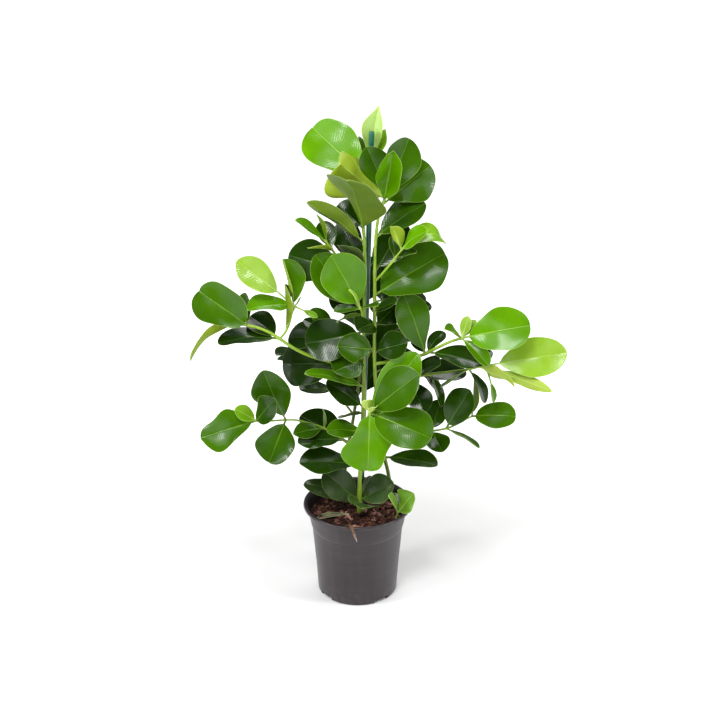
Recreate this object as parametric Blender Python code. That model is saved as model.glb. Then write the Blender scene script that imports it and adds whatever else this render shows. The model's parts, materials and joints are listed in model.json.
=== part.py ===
"""Autograph tree in its nursery pot: pot, soil, stake and leafy stems, standing on z = 0.

Metres, +Z up, front towards -Y. The origin is the centre of the pot's flat base.
Routes and reaches are written in millimetres: right (+X), back (+Y), up (+Z).
"""
import math
import random
from collections import namedtuple

import bpy
import bmesh
from mathutils import Matrix, Vector, noise
from mathutils.bvhtree import BVHTree

MM = 0.001
GAP = 0.3 * MM
AXIS = Vector((0.0, 0.0, 1.0))

# Pot: radius and height of each corner of its section, in millimetres
POT_HEIGHT = 215
LIP_RADIUS = 120
POT_OUTSIDE = ((0, 0), (84, 0), (87.2, 1.2), (88.6, 4.5), (92.5, 66), (97, 117), (100.6, 160),
               (102.2, 163), (104.6, 173), (109.2, 203), (112.4, 207.4), (119.2, 207.8),
               (LIP_RADIUS, 210), (119, 214.2), (116.6, POT_HEIGHT))
POT_INSIDE = ((113, 214.4), (108.4, 208), (102.4, 173.4), (98.4, 160), (94.9, 117),
              (90.4, 66), (86.6, 6), (84.4, 2.4), (0, 2.4))
POT_SEGMENTS = 30
WALL = 2.0 * MM
POCKET_HEIGHT = 8 * MM
POCKET_ANGLE = math.radians(24)
POCKET_FIRST = math.radians(-52.5)
POCKET_FLOOR_RADIUS = 76 * MM
POCKET_STEPS = 4
BUMP_HEIGHT = POCKET_HEIGHT + 2.4 * MM
BUMP_LOW = 1.2 * MM
BUMP_RADIUS = 87.4 * MM

# Soil: its heights are in millimetres
SOIL_EDGE_HEIGHT = 188
SOIL_CROWN = 7
SOIL_ROUGHNESS = 3.5 * MM
SOIL_LUMPS = 45
SOIL_RINGS = (0.86, 0.68, 0.48, 0.26)
SOIL_SEGMENTS = 24

# Stems
ROUTE_PIECES = 2
STEM_SIDES = 6
HOLE_SIDES = 8
HOLE_ROOM = 2 * GAP
ROOT_SUNK = 0.3
SEAT_START = 16 * MM
SEAT_SAMPLES = 24
SEAT_SHARE = 0.93
SEAT_GAP = 0.35 * MM

# Stake
STAKE_RADIUS = 5.7 * MM
STAKE_FOOT = (4, 20, 40)
STAKE_TOP = (29, 18, 1043)
STAKE_SIDES = 12

# Leaves
BLADE_THICKNESS = 1.2 * MM
STALK_THICKNESS = 3.6 * MM
STALK_HALF_WIDTH = 2.1 * MM
STALK_FADE = 0.16
TIP_REACH = 0.97
BROAD_PLACE = 1.35
WAVE_LAG = 2.4
LONG_LEAF = 72 * MM
LONG_LEAF_STEPS = 5
SHORT_LEAF_STEPS = 3
TIP_CROWDING = 0.42
MIDRIB_RISE = 0.35

# Room kept round a leaf while it is bent clear of its neighbours
CLEAR_THICKNESS = 3.0 * MM
CLEAR_ROWS = 6
CLEAR_EDGE = 1.02
WHOLE_START = 0.02
BLADE_START = 0.24
SWINGS = (0, 7, 14, 21, 28, 36)
SHRINKS = (1.0, 0.85, 0.7, 0.55)
MOST_TRIES = 220

# A positive lobe widens a leaf's left half near its root and its right half near its tip.
Leaf = namedtuple("Leaf", "node reach wide roll droop cup stalk blunt twist lobe wave",
                  defaults=(18, 14, 0.12, 0.55, 0, 0, 0))
Shoot = namedtuple("Shoot", "name parent radii route leaves")

# Upright stems. A leaf's node counts along its stem's route, 0 being the first point.
LEADER = Shoot(
    "stem_leader", None, (5.2, 2.4),
    [(2, 2, 120), (2, 2, 200), (8, -6, 320), (13, -10, 420), (14, -12, 490), (14, -14, 560),
     (14, -14, 625), (15, -14, 690), (16, -14, 760), (15, -13, 820), (11, -8, 868),
     (10, 7, 910), (14, 26, 950), (20, 35, 966)],
    [Leaf(12, (-105, 64, 82), 106, -54, 22, 12, 0.12, 0.38, 0, 0.06, 4),
     Leaf(13, (24, 2, 126), 48, 75, 10, 30, 0.08, 1.4, 0, 0.1),
     Leaf(12.6, (32, 10, 84), 34, 60, 10, 20, 0.1, 1.0),
     Leaf(13, (-14, 30, 58), 34, -60, 10, 20, 0.1, 1.0),
     Leaf(9.6, (-27, -120, 153), 124, -26, 14, 18, 0.04, 0.75, 0, -0.24, 5),
     Leaf(9.6, (-36, 26, 60), 56, -60, 18, 14, 0.12, 0.55),
     Leaf(9, (-114, -26, 92), 66, 30, 12, 20),
     Leaf(8, (-58, -30, 55), 58, 25),
     Leaf(8.2, (-60, 52, 72), 66, -60),
     Leaf(7.6, (-80, 68, 30), 74, -35),
     Leaf(6, (-121, -6, -24), 92, -68, 20, 14, 0.12, 0.5, 0, 0, 4),
     Leaf(6.3, (-61, 58, 66), 70, -45),
     Leaf(6.6, (-33, -56, 22), 42, 10, 30),
     Leaf(4.1, (-120, -78, 66), 40, -24, 24, 14, 0.12, 0.55, 20, 0, 4),
     Leaf(5, (-63, -8, -42), 80, -54, 16, 16, 0.06, 0.5),
     Leaf(3.4, (-78, -24, 70), 60, -50),
     Leaf(3.2, (-51, -48, 12), 42, 30),
     Leaf(5.2, (60, 74, 40), 76, 20)])

SECOND = Shoot(
    "stem_right", None, (4.6, 2.6),
    [(74, 52, 120), (74, 52, 200), (70, 45, 255), (60, 34, 307), (48, 16, 378), (42, -2, 455),
     (38, -16, 520), (36, -22, 582), (36, -24, 640), (36, -24, 710), (36, -24, 772),
     (38, -22, 835), (44, -20, 881), (55, -22, 915), (58, -22, 928)],
    [Leaf(12.8, (18, -30, 112), 68, 150, 16, 44, 0.08, 0.7, 0, 0.1, 4),
     Leaf(13.1, (-77, -42, 93), 140, 98, 20, 54, 0.06, 0.6, 0, -0.16, 6),
     Leaf(13.6, (46, 40, 104), 84, 72, 10, 24),
     Leaf(14, (-38, 20, 90), 66, -44, 16, 6, 0.1, 0.7),
     Leaf(12.6, (96, 44, 68), 94, 60, 14, 12),
     Leaf(11, (99, 2, 69), 80, 35, 20, 18),
     Leaf(9, (143, 26, 82), 112, 56, 24, 10, 0.1, 0.42, 0, -0.08, 6),
     Leaf(9.8, (62, 56, 84), 74, 60),
     Leaf(8.8, (112, 62, -14), 74, 25),
     Leaf(8, (60, 34, 60), 66, 50),
     Leaf(8.1, (-46, -46, 26), 56, -30),
     Leaf(8.5, (44, -40, 34), 46, 30),
     Leaf(7, (66, -18, 42), 64, 50),
     Leaf(7.1, (-76, -44, 26), 64, -62, 14, 14, 0.12, 0.5, 0, 0.1, 4),
     Leaf(5, (58, 30, 84), 66, 60),
     Leaf(3, (112, -64, 12), 64, 15, 24),
     Leaf(6.2, (84, 66, 20), 76, 15)])

FRONT = Shoot(
    "stem_front", None, (5.7, 3.2),
    [(5, -14, 120), (5, -14, 200), (5, -16, 266), (7, -19, 315), (13, -36, 393),
     (21, -51, 436), (27, -58, 462)],
    [Leaf(6, (-4, -28, -121), 98, -10, 16, 10, 0.05, 0.4, 8, -0.24, 7),
     Leaf(6, (100, -37, 103), 92, 58, 16, 12),
     Leaf(5.9, (127, -44, -38), 92, 53, 26, 14, 0.1, 0.42, 0, 0.06, 6),
     Leaf(6, (-7, -22, 40), 26, 20, 10, 30),
     Leaf(6, (10, -26, 36), 22, 10, 10, 30),
     Leaf(4.3, (-75, -36, 12), 54, -25),
     Leaf(3, (-130, -32, 20), 88, -15, 22),
     Leaf(1.3, (-67, -8, 88), 74, -70),
     Leaf(1.35, (74, -22, 54), 68, 50, 22),
     Leaf(1.2, (5, -62, 26), 70, 0, 40, 14, 0.12, 0.55, 0, 0.2, 6),
     Leaf(1.6, (22, 30, 42), 42, 30),
     Leaf(5, (84, -5, 168), 76, 72, 16, 10, 0.12, 0.5, 0, 0, 4),
     Leaf(1.45, (-116, -36, 30), 46, -20, 34, 14, 0.12, 0.5, 0, 0.1, 5)])

# Side shoots and branches: their route starts on the parent's axis.
BRANCH_LEFT = Shoot(
    "branch_left_upper", "stem_leader", (3.8, 3.0),
    [(14, -13, 535), (-37, -18, 554), (-91, -22, 571), (-130, -30, 593), (-161, -38, 619),
     (-181, -40, 633), (-205, -42, 645), (-230, -44, 652)],
    [Leaf(7, (-98, 8, 72), 100, -60, 64, 34, 0.08, 0.5, 0, 0.1, 4),
     Leaf(7, (-112, -60, -54), 60, 40, 80, 18, 0.06, 0.5),
     Leaf(6.9, (-100, -20, 2), 44, -22, 20),
     Leaf(7, (-10, 25, 62), 40, -50),
     Leaf(4, (-122, -20, 32), 76, -22, 22),
     Leaf(4.2, (-60, 32, 40), 62, -25),
     Leaf(1, (-122, 42, -18), 102, -66, 22, 10, 0.1, 0.5)])

TWIG_LEFT = Shoot(
    "twig_left_upper", "branch_left_upper", (2.4, 1.8),
    [(-161, -38, 619), (-150, -35, 632), (-141, -32, 650), (-135, -28, 672), (-128, -24, 688)],
    [Leaf(4, (-114, -24, 106), 68, -60, 14, 16, 0.34, 0.55),
     Leaf(4, (-94, -36, 6), 60, -20, 34, 24, 0.16, 0.5, 0, -0.2, 3),
     Leaf(3.6, (-20, 12, 102), 72, 0, 10, 50),
     Leaf(1.2, (-4, -22, 98), 56, 78, 10, 30),
     Leaf(4, (46, -12, -20), 18, 20, 10, 10, 0.4),
     Leaf(4, (12, 4, 20), 8, 0, 5, 10)])

BRANCH_LOW_LEFT = Shoot(
    "branch_left_lower", "stem_leader", (2.6, 1.8),
    [(9, -7, 345), (-30, -10, 372), (-72, -15, 402), (-123, -20, 422), (-153, -22, 425),
     (-187, -25, 424), (-221, -28, 425)],
    [Leaf(6, (-116, -32, -24), 78, -52, 24, 10, 0.1, 0.62, 0, 0.28, 5),
     Leaf(6, (-44, -12, 34), 38, -50, 20, 24),
     Leaf(4, (-47, 7, 111), 78, -80, 18, 14, 0.1, 0.6, 0, 0.14, 5),
     Leaf(6, (44, -34, 66), 56, 84, 20, 14, 0.06, 0.5, 0, 0.1, 4),
     Leaf(4, (-36, -30, -86), 84, -40, 22, 12, 0.1, 0.5, 0, -0.1, 6),
     Leaf(2, (-4, -6, 48), 28, -40),
     Leaf(2, (-68, -28, 4), 42, -30, 22, 14, 0.1, 0.8),
     Leaf(1, (-96, -40, 12), 60, -26, 24, 12)])

BRANCH_RIGHT = Shoot(
    "branch_right_upper", "stem_right", (4.0, 3.0),
    [(37, -20, 555), (90, -18, 562), (125, -18, 571), (143, -20, 578), (173, -26, 597),
     (198, -28, 610), (221, -30, 618)],
    [Leaf(6, (138, -18, 36), 94, 58, 18, 10, 0.12, 0.45, 0, 0, 4),
     Leaf(6, (-40, -40, 34), 38, -30, 30, 30),
     Leaf(5.9, (58, -46, -34), 36, 26, 30, 30),
     Leaf(6, (14, 10, 45), 24, 30),
     Leaf(6, (30, 20, 32), 24, 30),
     Leaf(3, (-48, 2, 135), 78, -62, 14, 8, 0.08, 0.72),
     Leaf(3.2, (112, -42, 4), 66, 18, 20),
     Leaf(3, (-24, 16, 34), 30, -40),
     Leaf(3.1, (40, 30, 36), 36, 10)])

BRANCH_RIGHT_MID = Shoot(
    "branch_right_middle", "stem_right", (3.4, 2.2),
    [(40, -10, 495), (91, -6, 514), (140, -14, 526), (175, -18, 533), (206, -22, 539),
     (236, -26, 545), (256, -30, 552), (280, -31, 557)],
    [Leaf(7, (159, -14, 34), 86, 64, 12, 8, 0.14),
     Leaf(6, (150, -52, -14), 28, -100, 34, 20, 0.2, 0.6),
     Leaf(6, (78, -38, -14), 62, -50, 20, 16, 0.08, 0.6, 0, 0, 4),
     Leaf(6.6, (44, -30, -58), 24, -20, 20, 10, 0.5),
     Leaf(5, (49, 36, 26), 36, 20),
     Leaf(5, (37, -14, -70), 42, 10, 20),
     Leaf(5, (-60, -36, -26), 42, 35),
     Leaf(2.4, (24, -20, -66), 50, -20, 20),
     Leaf(1.3, (66, -46, 48), 72, 20),
     Leaf(1.3, (34, -50, -58), 62, 10, 20),
     Leaf(1.6, (110, 34, -18), 64, 34, 20),
     Leaf(2, (42, 34, -64), 56, 40, 20)])

BRANCH_LOW_RIGHT = Shoot(
    "branch_right_lower", "stem_right", (2.6, 1.8),
    [(53, 23, 350), (80, 14, 364), (115, 8, 377), (162, 0, 388), (192, -4, 396),
     (215, -8, 408), (232, -10, 420), (249, -12, 430)],
    [Leaf(4, (36, -14, 104), 68, 75, 14, 12),
     Leaf(7, (-3, -30, 77), 46, 76, 10, 24),
     Leaf(7, (90, -30, 14), 60, 52, 50, 14, 0.1, 0.45),
     Leaf(4, (68, -40, -28), 54, -24, 16),
     Leaf(3, (18, 30, 60), 50, 30),
     Leaf(3, (20, -56, -22), 52, 15, 20)])

SHOOT_UPPER_LEFT = Shoot(
    "shoot_upper_left", "stem_leader", (2.8, 2.0),
    [(15, -14, 700), (-13, -10, 744), (-33, -14, 778), (-50, -20, 806), (-64, -26, 828)],
    [Leaf(4, (-62, -14, 50), 46, -16),
     Leaf(4, (-12, 2, 60), 38, 28),
     Leaf(3, (-18, 26, 56), 42, -30),
     Leaf(3, (-46, -40, 20), 38, 20),
     Leaf(1.4, (-120, 38, 22), 88, -60, 14, 4)])

SHOOT_UPPER_RIGHT = Shoot(
    "shoot_upper_right", "stem_right", (2.8, 2.0),
    [(36, -24, 740), (52, -34, 762), (76, -44, 796), (92, -50, 820)],
    [Leaf(3, (-20, -25, 56), 34, 20, 20, 40),
     Leaf(3, (86, 34, 6), 56, 25, 140, 12),
     Leaf(3, (58, -20, 53), 50, 30),
     Leaf(2, (-6, 16, 42), 26, 20),
     Leaf(2, (40, -38, 26), 34, 10)])

SHOOT_CENTRE = Shoot(
    "shoot_centre", "stem_leader", (2.8, 2.0),
    [(14, -14, 640), (12, -28, 662), (6, -40, 690)],
    [Leaf(2, (-58, -20, 121), 98, -85, 12, 10),
     Leaf(1.8, (-92, 0, 116), 84, -75, 12, 10),
     Leaf(2, (-18, -20, 54), 14, -60, 6, 50),
     Leaf(2, (-54, -22, 2), 34, -10, 20),
     Leaf(2, (34, -44, 22), 34, 10, 20)])

SHOOT_CENTRE_LEFT = Shoot(
    "shoot_centre_left", "stem_leader", (2.8, 2.0),
    [(14, -14, 575), (-12, 0, 584), (-38, 4, 596), (-58, 6, 608)],
    [Leaf(3, (-44, 22, 52), 54, -30, 14, 50),
     Leaf(3, (-58, 26, 30), 30, -30),
     Leaf(2.6, (-92, 36, -10), 70, -40, 24),
     Leaf(1.4, (-104, 10, -34), 84, -78, 24)])


def paired(first, last, spacing, facing, length, wide, seed):
    """Opposite pairs of leaves on a stem at the back, fanned about a plan bearing.

    Every other pair spreads wide of the bearing, and the pairs between them stay near it.
    """
    draw = random.Random(seed)
    leaves = []
    for pair in range(int((last - first) / spacing) + 1):
        spread = (80, 34)[pair % 2]
        for side in (-1, 1):
            heading = math.radians(facing + side * spread + draw.uniform(-12, 12))
            rise = math.radians(draw.uniform(10, 40))
            size = length * draw.uniform(0.82, 1.06)
            reach = (size * math.cos(rise) * math.cos(heading),
                     size * math.cos(rise) * math.sin(heading),
                     size * math.sin(rise))
            leaves.append(Leaf(first + pair * spacing, reach, wide * draw.uniform(0.88, 1.05),
                               draw.uniform(-20, 20), draw.uniform(14, 34)))
    return leaves


STEM_BACK = Shoot(
    "stem_back", None, (4.6, 2.4),
    [(-34, 42, 120), (-34, 42, 200), (-24, 50, 300), (-8, 56, 400), (6, 60, 500),
     (16, 62, 600), (22, 60, 690), (26, 56, 770)],
    [Leaf(5.6, (4, 34, 92), 84, 10, 16)] + paired(2.3, 6.9, 1.1, 90, 128, 88, 11))

BRANCH_BACK_LEFT = Shoot(
    "branch_back_left", "stem_back", (2.8, 2.0),
    [(-8, 56, 400), (-40, 96, 428), (-74, 140, 462), (-98, 174, 500)],
    paired(1.3, 3.0, 0.8, 135, 108, 74, 23))

BRANCH_BACK_RIGHT = Shoot(
    "branch_back_right", "stem_back", (2.8, 2.0),
    [(8, 61, 515), (34, 102, 540), (62, 148, 572), (84, 184, 606)],
    paired(1.3, 3.0, 0.8, 50, 108, 74, 37))

SEEDLING = Shoot(
    "seedling_right", None, (2.2, 1.6),
    [(80, -44, 150), (83, -46, 190), (90, -52, 218)],
    [Leaf(2, (32, -6, 52), 50, 60, 10, 20, 0.12, 0.55, 0, 0.25, 5),
     Leaf(2, (-8, -4, 62), 34, -50, 10, 20),
     Leaf(1.7, (-6, 24, 40), 28, 20)])

# Parents come before the shoots that grow on them.
SHOOTS = (LEADER, SECOND, FRONT, STEM_BACK, BRANCH_LEFT, TWIG_LEFT, BRANCH_LOW_LEFT,
          BRANCH_RIGHT, BRANCH_RIGHT_MID, BRANCH_LOW_RIGHT, SHOOT_UPPER_LEFT,
          SHOOT_UPPER_RIGHT, SHOOT_CENTRE, SHOOT_CENTRE_LEFT, BRANCH_BACK_LEFT,
          BRANCH_BACK_RIGHT, SEEDLING)
# Leaves at the front keep their places, and those behind are bent clear of them.
LEAF_ORDER = (FRONT, SHOOT_CENTRE, BRANCH_RIGHT, TWIG_LEFT, BRANCH_LEFT, SECOND,
              SHOOT_UPPER_RIGHT, LEADER, BRANCH_RIGHT_MID, BRANCH_LOW_RIGHT, BRANCH_LOW_LEFT,
              SHOOT_UPPER_LEFT, SHOOT_CENTRE_LEFT, SEEDLING, BRANCH_BACK_LEFT,
              BRANCH_BACK_RIGHT, STEM_BACK)

# Colour and roughness of each material
LOOKS = {
    "pot_plastic": ((0.095, 0.085, 0.098), 0.42),
    "potting_bark": ((0.14, 0.055, 0.03), 0.95),
    "stake_coating": ((0.02, 0.19, 0.11), 0.35),
    "dry_husk": ((0.32, 0.19, 0.11), 0.85),
    "leaf_dark": ((0.045, 0.14, 0.02), 0.3),
    "leaf_green": ((0.075, 0.23, 0.02), 0.3),
    "leaf_bright": ((0.16, 0.36, 0.03), 0.35),
}
NODE_LOOKS = {
    "stem_front": "leaf_bright", "branch_left_upper": "leaf_bright",
    "twig_left_upper": "leaf_bright", "branch_right_upper": "leaf_bright",
    "branch_right_middle": "leaf_bright", "shoot_centre": "leaf_bright",
    "shoot_upper_right": "leaf_bright", "seedling_right": "leaf_bright",
    "stem_back": "leaf_dark", "branch_back_left": "leaf_dark",
    "branch_back_right": "leaf_dark", "shoot_centre_left": "leaf_dark",
    "branch_left_lower": "leaf_dark", "branch_right_lower": "leaf_dark",
}


def clear_scene():
    for item in list(bpy.data.objects):
        bpy.data.objects.remove(item, do_unlink=True)


def material(name):
    """The named finish as a Principled material, made once."""
    found = bpy.data.materials.get(name)
    if found:
        return found
    colour, roughness = LOOKS[name]
    made = bpy.data.materials.new(name)
    made.use_nodes = True
    shader = made.node_tree.nodes["Principled BSDF"]
    shader.inputs["Base Color"].default_value = (*colour, 1.0)
    shader.inputs["Roughness"].default_value = roughness
    shader.inputs["Metallic"].default_value = 0.0
    return made


def mesh_from(bm, name):
    """A mesh made from a closed shape, with its faces turned outwards."""
    mesh = bpy.data.meshes.new(name)
    bmesh.ops.recalc_face_normals(bm, faces=bm.faces[:])
    if bm.calc_volume(signed=True) < 0:
        bmesh.ops.reverse_faces(bm, faces=bm.faces[:])
    bm.to_mesh(mesh)
    bm.free()
    return mesh


def add_object(name, mesh):
    item = bpy.data.objects.new(name, mesh)
    bpy.context.scene.collection.objects.link(item)
    return item


def add_look(item, look):
    item.data.materials.clear()
    item.data.materials.append(material(look))
    item.data.shade_smooth()
    item.data.set_sharp_from_angle(angle=math.radians(40))
    return item


def evaluated_mesh(item):
    """The object's mesh with its modifiers applied."""
    bpy.context.view_layer.update()
    graph = bpy.context.evaluated_depsgraph_get()
    return bpy.data.meshes.new_from_object(item.evaluated_get(graph))


def combine(item, others, operation):
    """Joins or cuts an object's mesh with all of the others in one Boolean, then drops them."""
    group = bpy.data.collections.new("operands")
    bpy.context.scene.collection.children.link(group)
    for other in others:
        bpy.context.scene.collection.objects.unlink(other)
        group.objects.link(other)
    boolean = item.modifiers.new("combine", "BOOLEAN")
    boolean.operation = operation
    boolean.operand_type = "COLLECTION"
    boolean.collection = group
    boolean.solver = "EXACT"
    mesh = evaluated_mesh(item)
    item.modifiers.clear()
    item.data = mesh
    for other in list(group.objects):
        bpy.data.objects.remove(other, do_unlink=True)
    bpy.data.collections.remove(group)
    return item


def turned(profile, segments, name):
    """A closed solid turned round the upright axis; the profile starts and ends on the axis."""
    bm = bmesh.new()
    points = [bm.verts.new((radius * MM, 0.0, height * MM)) for radius, height in profile]
    edges = [bm.edges.new(pair) for pair in zip(points, points[1:])]
    bmesh.ops.spin(bm, geom=points + edges, axis=AXIS, cent=(0, 0, 0), angle=math.tau,
                   steps=segments, use_merge=True, use_duplicate=False)
    bmesh.ops.remove_doubles(bm, verts=bm.verts[:], dist=0.01 * MM)
    return mesh_from(bm, name)


def sector(inner, outer, low, high, start, sweep, name):
    """A block between two radii and two heights, swept round the upright axis by an angle."""
    bm = bmesh.new()
    corners = [bm.verts.new((radius, 0.0, height))
               for radius, height in ((inner, low), (outer, low), (outer, high), (inner, high))]
    face = bm.faces.new(corners)
    bmesh.ops.rotate(bm, verts=corners, cent=(0, 0, 0), matrix=Matrix.Rotation(start, 3, "Z"))
    geom = [face] + list(face.edges) + corners
    bmesh.ops.spin(bm, geom=geom, axis=AXIS, cent=(0, 0, 0), angle=sweep, steps=POCKET_STEPS)
    bmesh.ops.holes_fill(bm, edges=bm.edges[:], sides=4)
    return mesh_from(bm, name)


def inner_radius(height):
    """Inner radius of the pot at a height above its floor, both in millimetres."""
    points = sorted((high, radius) for radius, high in POT_INSIDE[:-1])
    for (low, near), (high, far) in zip(points, points[1:]):
        if low <= height <= high:
            break
    return near + (far - near) * (height - low) / (high - low)


def pocket_starts():
    """Where each drain pocket begins, as an angle from +X."""
    front = -math.pi / 2
    middles = [front + POCKET_FIRST + quarter * math.pi / 2 for quarter in range(4)]
    return [middle - POCKET_ANGLE / 2 for middle in middles]


def make_pot():
    """The turned pot, with four drain pockets cut up into the edge of its base."""
    pot = add_object("pot", turned(POT_OUTSIDE + POT_INSIDE, POT_SEGMENTS, "pot"))
    margin = WALL / POCKET_FLOOR_RADIUS
    bumps = []
    cuts = []
    for start in pocket_starts():
        bumps.append(add_object("bump", sector(
            POCKET_FLOOR_RADIUS - WALL, BUMP_RADIUS, BUMP_LOW, BUMP_HEIGHT,
            start - margin, POCKET_ANGLE + 2 * margin, "bump")))
        cuts.append(add_object("cut", sector(
            POCKET_FLOOR_RADIUS, LIP_RADIUS * MM, -MM, POCKET_HEIGHT,
            start, POCKET_ANGLE, "cut")))
    combine(pot, bumps, "UNION")
    combine(pot, cuts, "DIFFERENCE")
    return add_look(pot, "pot_plastic")


def soil_profile():
    """Section of the soil: from its underside's centre, up the pot's wall, in over its top."""
    low = (BUMP_HEIGHT + GAP) / MM
    inside = sorted(height for _, height in POT_INSIDE if low < height < SOIL_EDGE_HEIGHT)
    section = [(0, low)]
    for height in [low] + inside + [SOIL_EDGE_HEIGHT]:
        section.append((inner_radius(height) - 2 * GAP / MM, height))
    for share in SOIL_RINGS:
        radius = share * inner_radius(SOIL_EDGE_HEIGHT)
        section.append((radius, SOIL_EDGE_HEIGHT + SOIL_CROWN * (1 - share ** 2)))
    section.append((0, SOIL_EDGE_HEIGHT + SOIL_CROWN))
    return section


def make_soil(routes):
    """The soil plug with its lumpy top and a plain hole for whatever stands in it."""
    mesh = turned(soil_profile(), SOIL_SEGMENTS, "soil")
    for vertex in mesh.vertices:
        if vertex.co.z > (SOIL_EDGE_HEIGHT + 0.5) * MM:
            vertex.co.z += SOIL_ROUGHNESS * noise.noise(vertex.co * SOIL_LUMPS)
    soil = add_object("soil", mesh)
    holes = []
    for route, radius in routes:
        foot, second, third = (Vector(point) * MM for point in route[:3])
        foot = foot - (second - foot).normalized() * HOLE_ROOM * 2
        hole = tube([foot, second, third], [radius + HOLE_ROOM] * 3, HOLE_SIDES, "hole")
        holes.append(add_object("hole", hole))
    combine(soil, holes, "DIFFERENCE")
    return add_look(soil, "potting_bark")


def smooth_route(route):
    """Points in metres along a smooth curve through the route's own points."""
    points = [Vector(point) * MM for point in route]
    padded = [2 * points[0] - points[1]] + points + [2 * points[-1] - points[-2]]
    path = []
    for before, start, end, after in zip(padded, padded[1:], padded[2:], padded[3:]):
        for piece in range(ROUTE_PIECES):
            t = piece / ROUTE_PIECES
            path.append(0.5 * (2 * start + (end - before) * t
                               + (2 * before - 5 * start + 4 * end - after) * t ** 2
                               + (3 * start - before - 3 * end + after) * t ** 3))
    path.append(points[-1])
    return path


def tube(path, radii, sides, name):
    """A closed tube along a path, with a radius at each of its points."""
    curve = bpy.data.curves.new(name, "CURVE")
    curve.dimensions = "3D"
    curve.bevel_depth = 1.0
    curve.bevel_resolution = sides // 2 - 2
    curve.use_fill_caps = True
    spline = curve.splines.new("POLY")
    spline.points.add(len(path) - 1)
    for point, place, radius in zip(spline.points, path, radii):
        point.co = (*place, 1.0)
        point.radius = radius
    holder = add_object(name, curve)
    mesh = evaluated_mesh(holder)
    bpy.data.objects.remove(holder, do_unlink=True)
    bm = bmesh.new()
    bm.from_mesh(mesh)
    bmesh.ops.remove_doubles(bm, verts=bm.verts[:], dist=0.001 * MM)
    return mesh_from(bm, name)


def point_at(path, node):
    """The place on a smooth route at a node number, kept a little short of the stem's end."""
    spot = min(node * ROUTE_PIECES, len(path) - 1 - ROOT_SUNK)
    index = int(spot)
    return path[index].lerp(path[index + 1], spot - index)


def search_tree(mesh):
    return BVHTree.FromPolygons([vertex.co.copy() for vertex in mesh.vertices],
                                [tuple(face.vertices) for face in mesh.polygons])


def stem_path(shoot, parents):
    """A shoot's path and radii; a side shoot's first point is seated on its parent's skin."""
    path = smooth_route(shoot.route)
    root, tip = (radius * MM for radius in shoot.radii)
    radii = [root + (tip - root) * index / (len(path) - 1) for index in range(len(path))]
    if shoot.parent:
        out = (path[1] - path[0]).normalized()
        path[0] = seated(path[0] + out * SEAT_START, out, root, parents[shoot.parent][2])
    return path, radii


def seated(place, out, radius, tree):
    """The place drawn back against its direction until a disc about it nearly meets a skin."""
    across = out.orthogonal().normalized()
    up = out.cross(across)
    rim = []
    for step in range(SEAT_SAMPLES):
        turn = math.tau * step / SEAT_SAMPLES
        rim.append(SEAT_SHARE * radius * (math.cos(turn) * across + math.sin(turn) * up))
    for _ in range(SEAT_SAMPLES):
        room = min(tree.find_nearest(place + offset)[3] for offset in rim + [Vector()])
        place = place - out * (room - SEAT_GAP)
    return place


def half_width(t, leaf, wide, hand):
    """Half the leaf's width at t, from its root (0) to its tip (1), on the side of its hand."""
    if t <= leaf.stalk:
        return STALK_HALF_WIDTH
    share = TIP_REACH * (t - leaf.stalk) / (1 - leaf.stalk)
    blade = math.sin(math.pi * share ** BROAD_PLACE) ** leaf.blunt
    blade *= 1 + leaf.lobe * hand * math.sin(math.tau * share)
    return STALK_HALF_WIDTH + (wide / 2 - STALK_HALF_WIDTH) * blade


def leaf_point(leaf, pose, t, v, layer, extra=0.0):
    """A point of a leaf: t along it, v across it (-1 to 1), layer 0 under to 1 upper skin."""
    root, reach, roll, scale = pose
    along = reach.normalized()
    level = max(math.hypot(along.x, along.y), 1e-6)
    upper = Vector((-along.z * along.x / level, -along.z * along.y / level, level))
    upper = Matrix.Rotation(roll, 3, along) @ upper
    side = along.cross(upper)
    droop = math.radians(max(leaf.droop, 1))
    cup = math.radians(max(leaf.cup, 1))
    turn = droop * (0.5 - t)
    length = reach.length * droop / (2 * math.sin(droop / 2))
    centre = root + length / droop * (
        (math.sin(droop / 2) - math.sin(turn)) * along
        + (math.cos(turn) - math.cos(droop / 2)) * upper)
    normal = math.cos(turn) * upper - math.sin(turn) * along
    twist = math.radians(leaf.twist) * (t - 0.5)
    side, normal = (math.cos(twist) * side + math.sin(twist) * normal,
                    math.cos(twist) * normal - math.sin(twist) * side)
    hand = 1 if v > 0 else -1 if v < 0 else 0
    half = half_width(t, leaf, leaf.wide * MM * scale, hand)
    crease = MIDRIB_RISE * cup
    bend = crease + cup * abs(v)
    reach_out = half / cup * (math.sin(bend) - math.sin(crease)) * hand
    lift = half / cup * (math.cos(crease) - math.cos(bend))
    lift += leaf.wave * MM * v ** 2 * math.sin(math.tau * t + (0 if v > 0 else WAVE_LAG))
    blend = min(max((t - 0.5 * leaf.stalk) / STALK_FADE, 0.0), 1.0)
    thick = STALK_THICKNESS + (BLADE_THICKNESS - STALK_THICKNESS) * blend + extra
    out = normal * math.cos(bend) - side * math.sin(bend) * hand
    return centre + side * reach_out + normal * lift + out.normalized() * (layer - 0.5) * thick


def leaf_stations(leaf, steps):
    """Shares of the leaf's length where it has a row of points, close together at its tip."""
    stations = [0.0, leaf.stalk]
    for step in range(1, steps):
        share = step / (steps - 1)
        stations.append(leaf.stalk
                        + (1 - leaf.stalk) * share * (1 + TIP_CROWDING * (1 - share)))
    return stations


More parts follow.
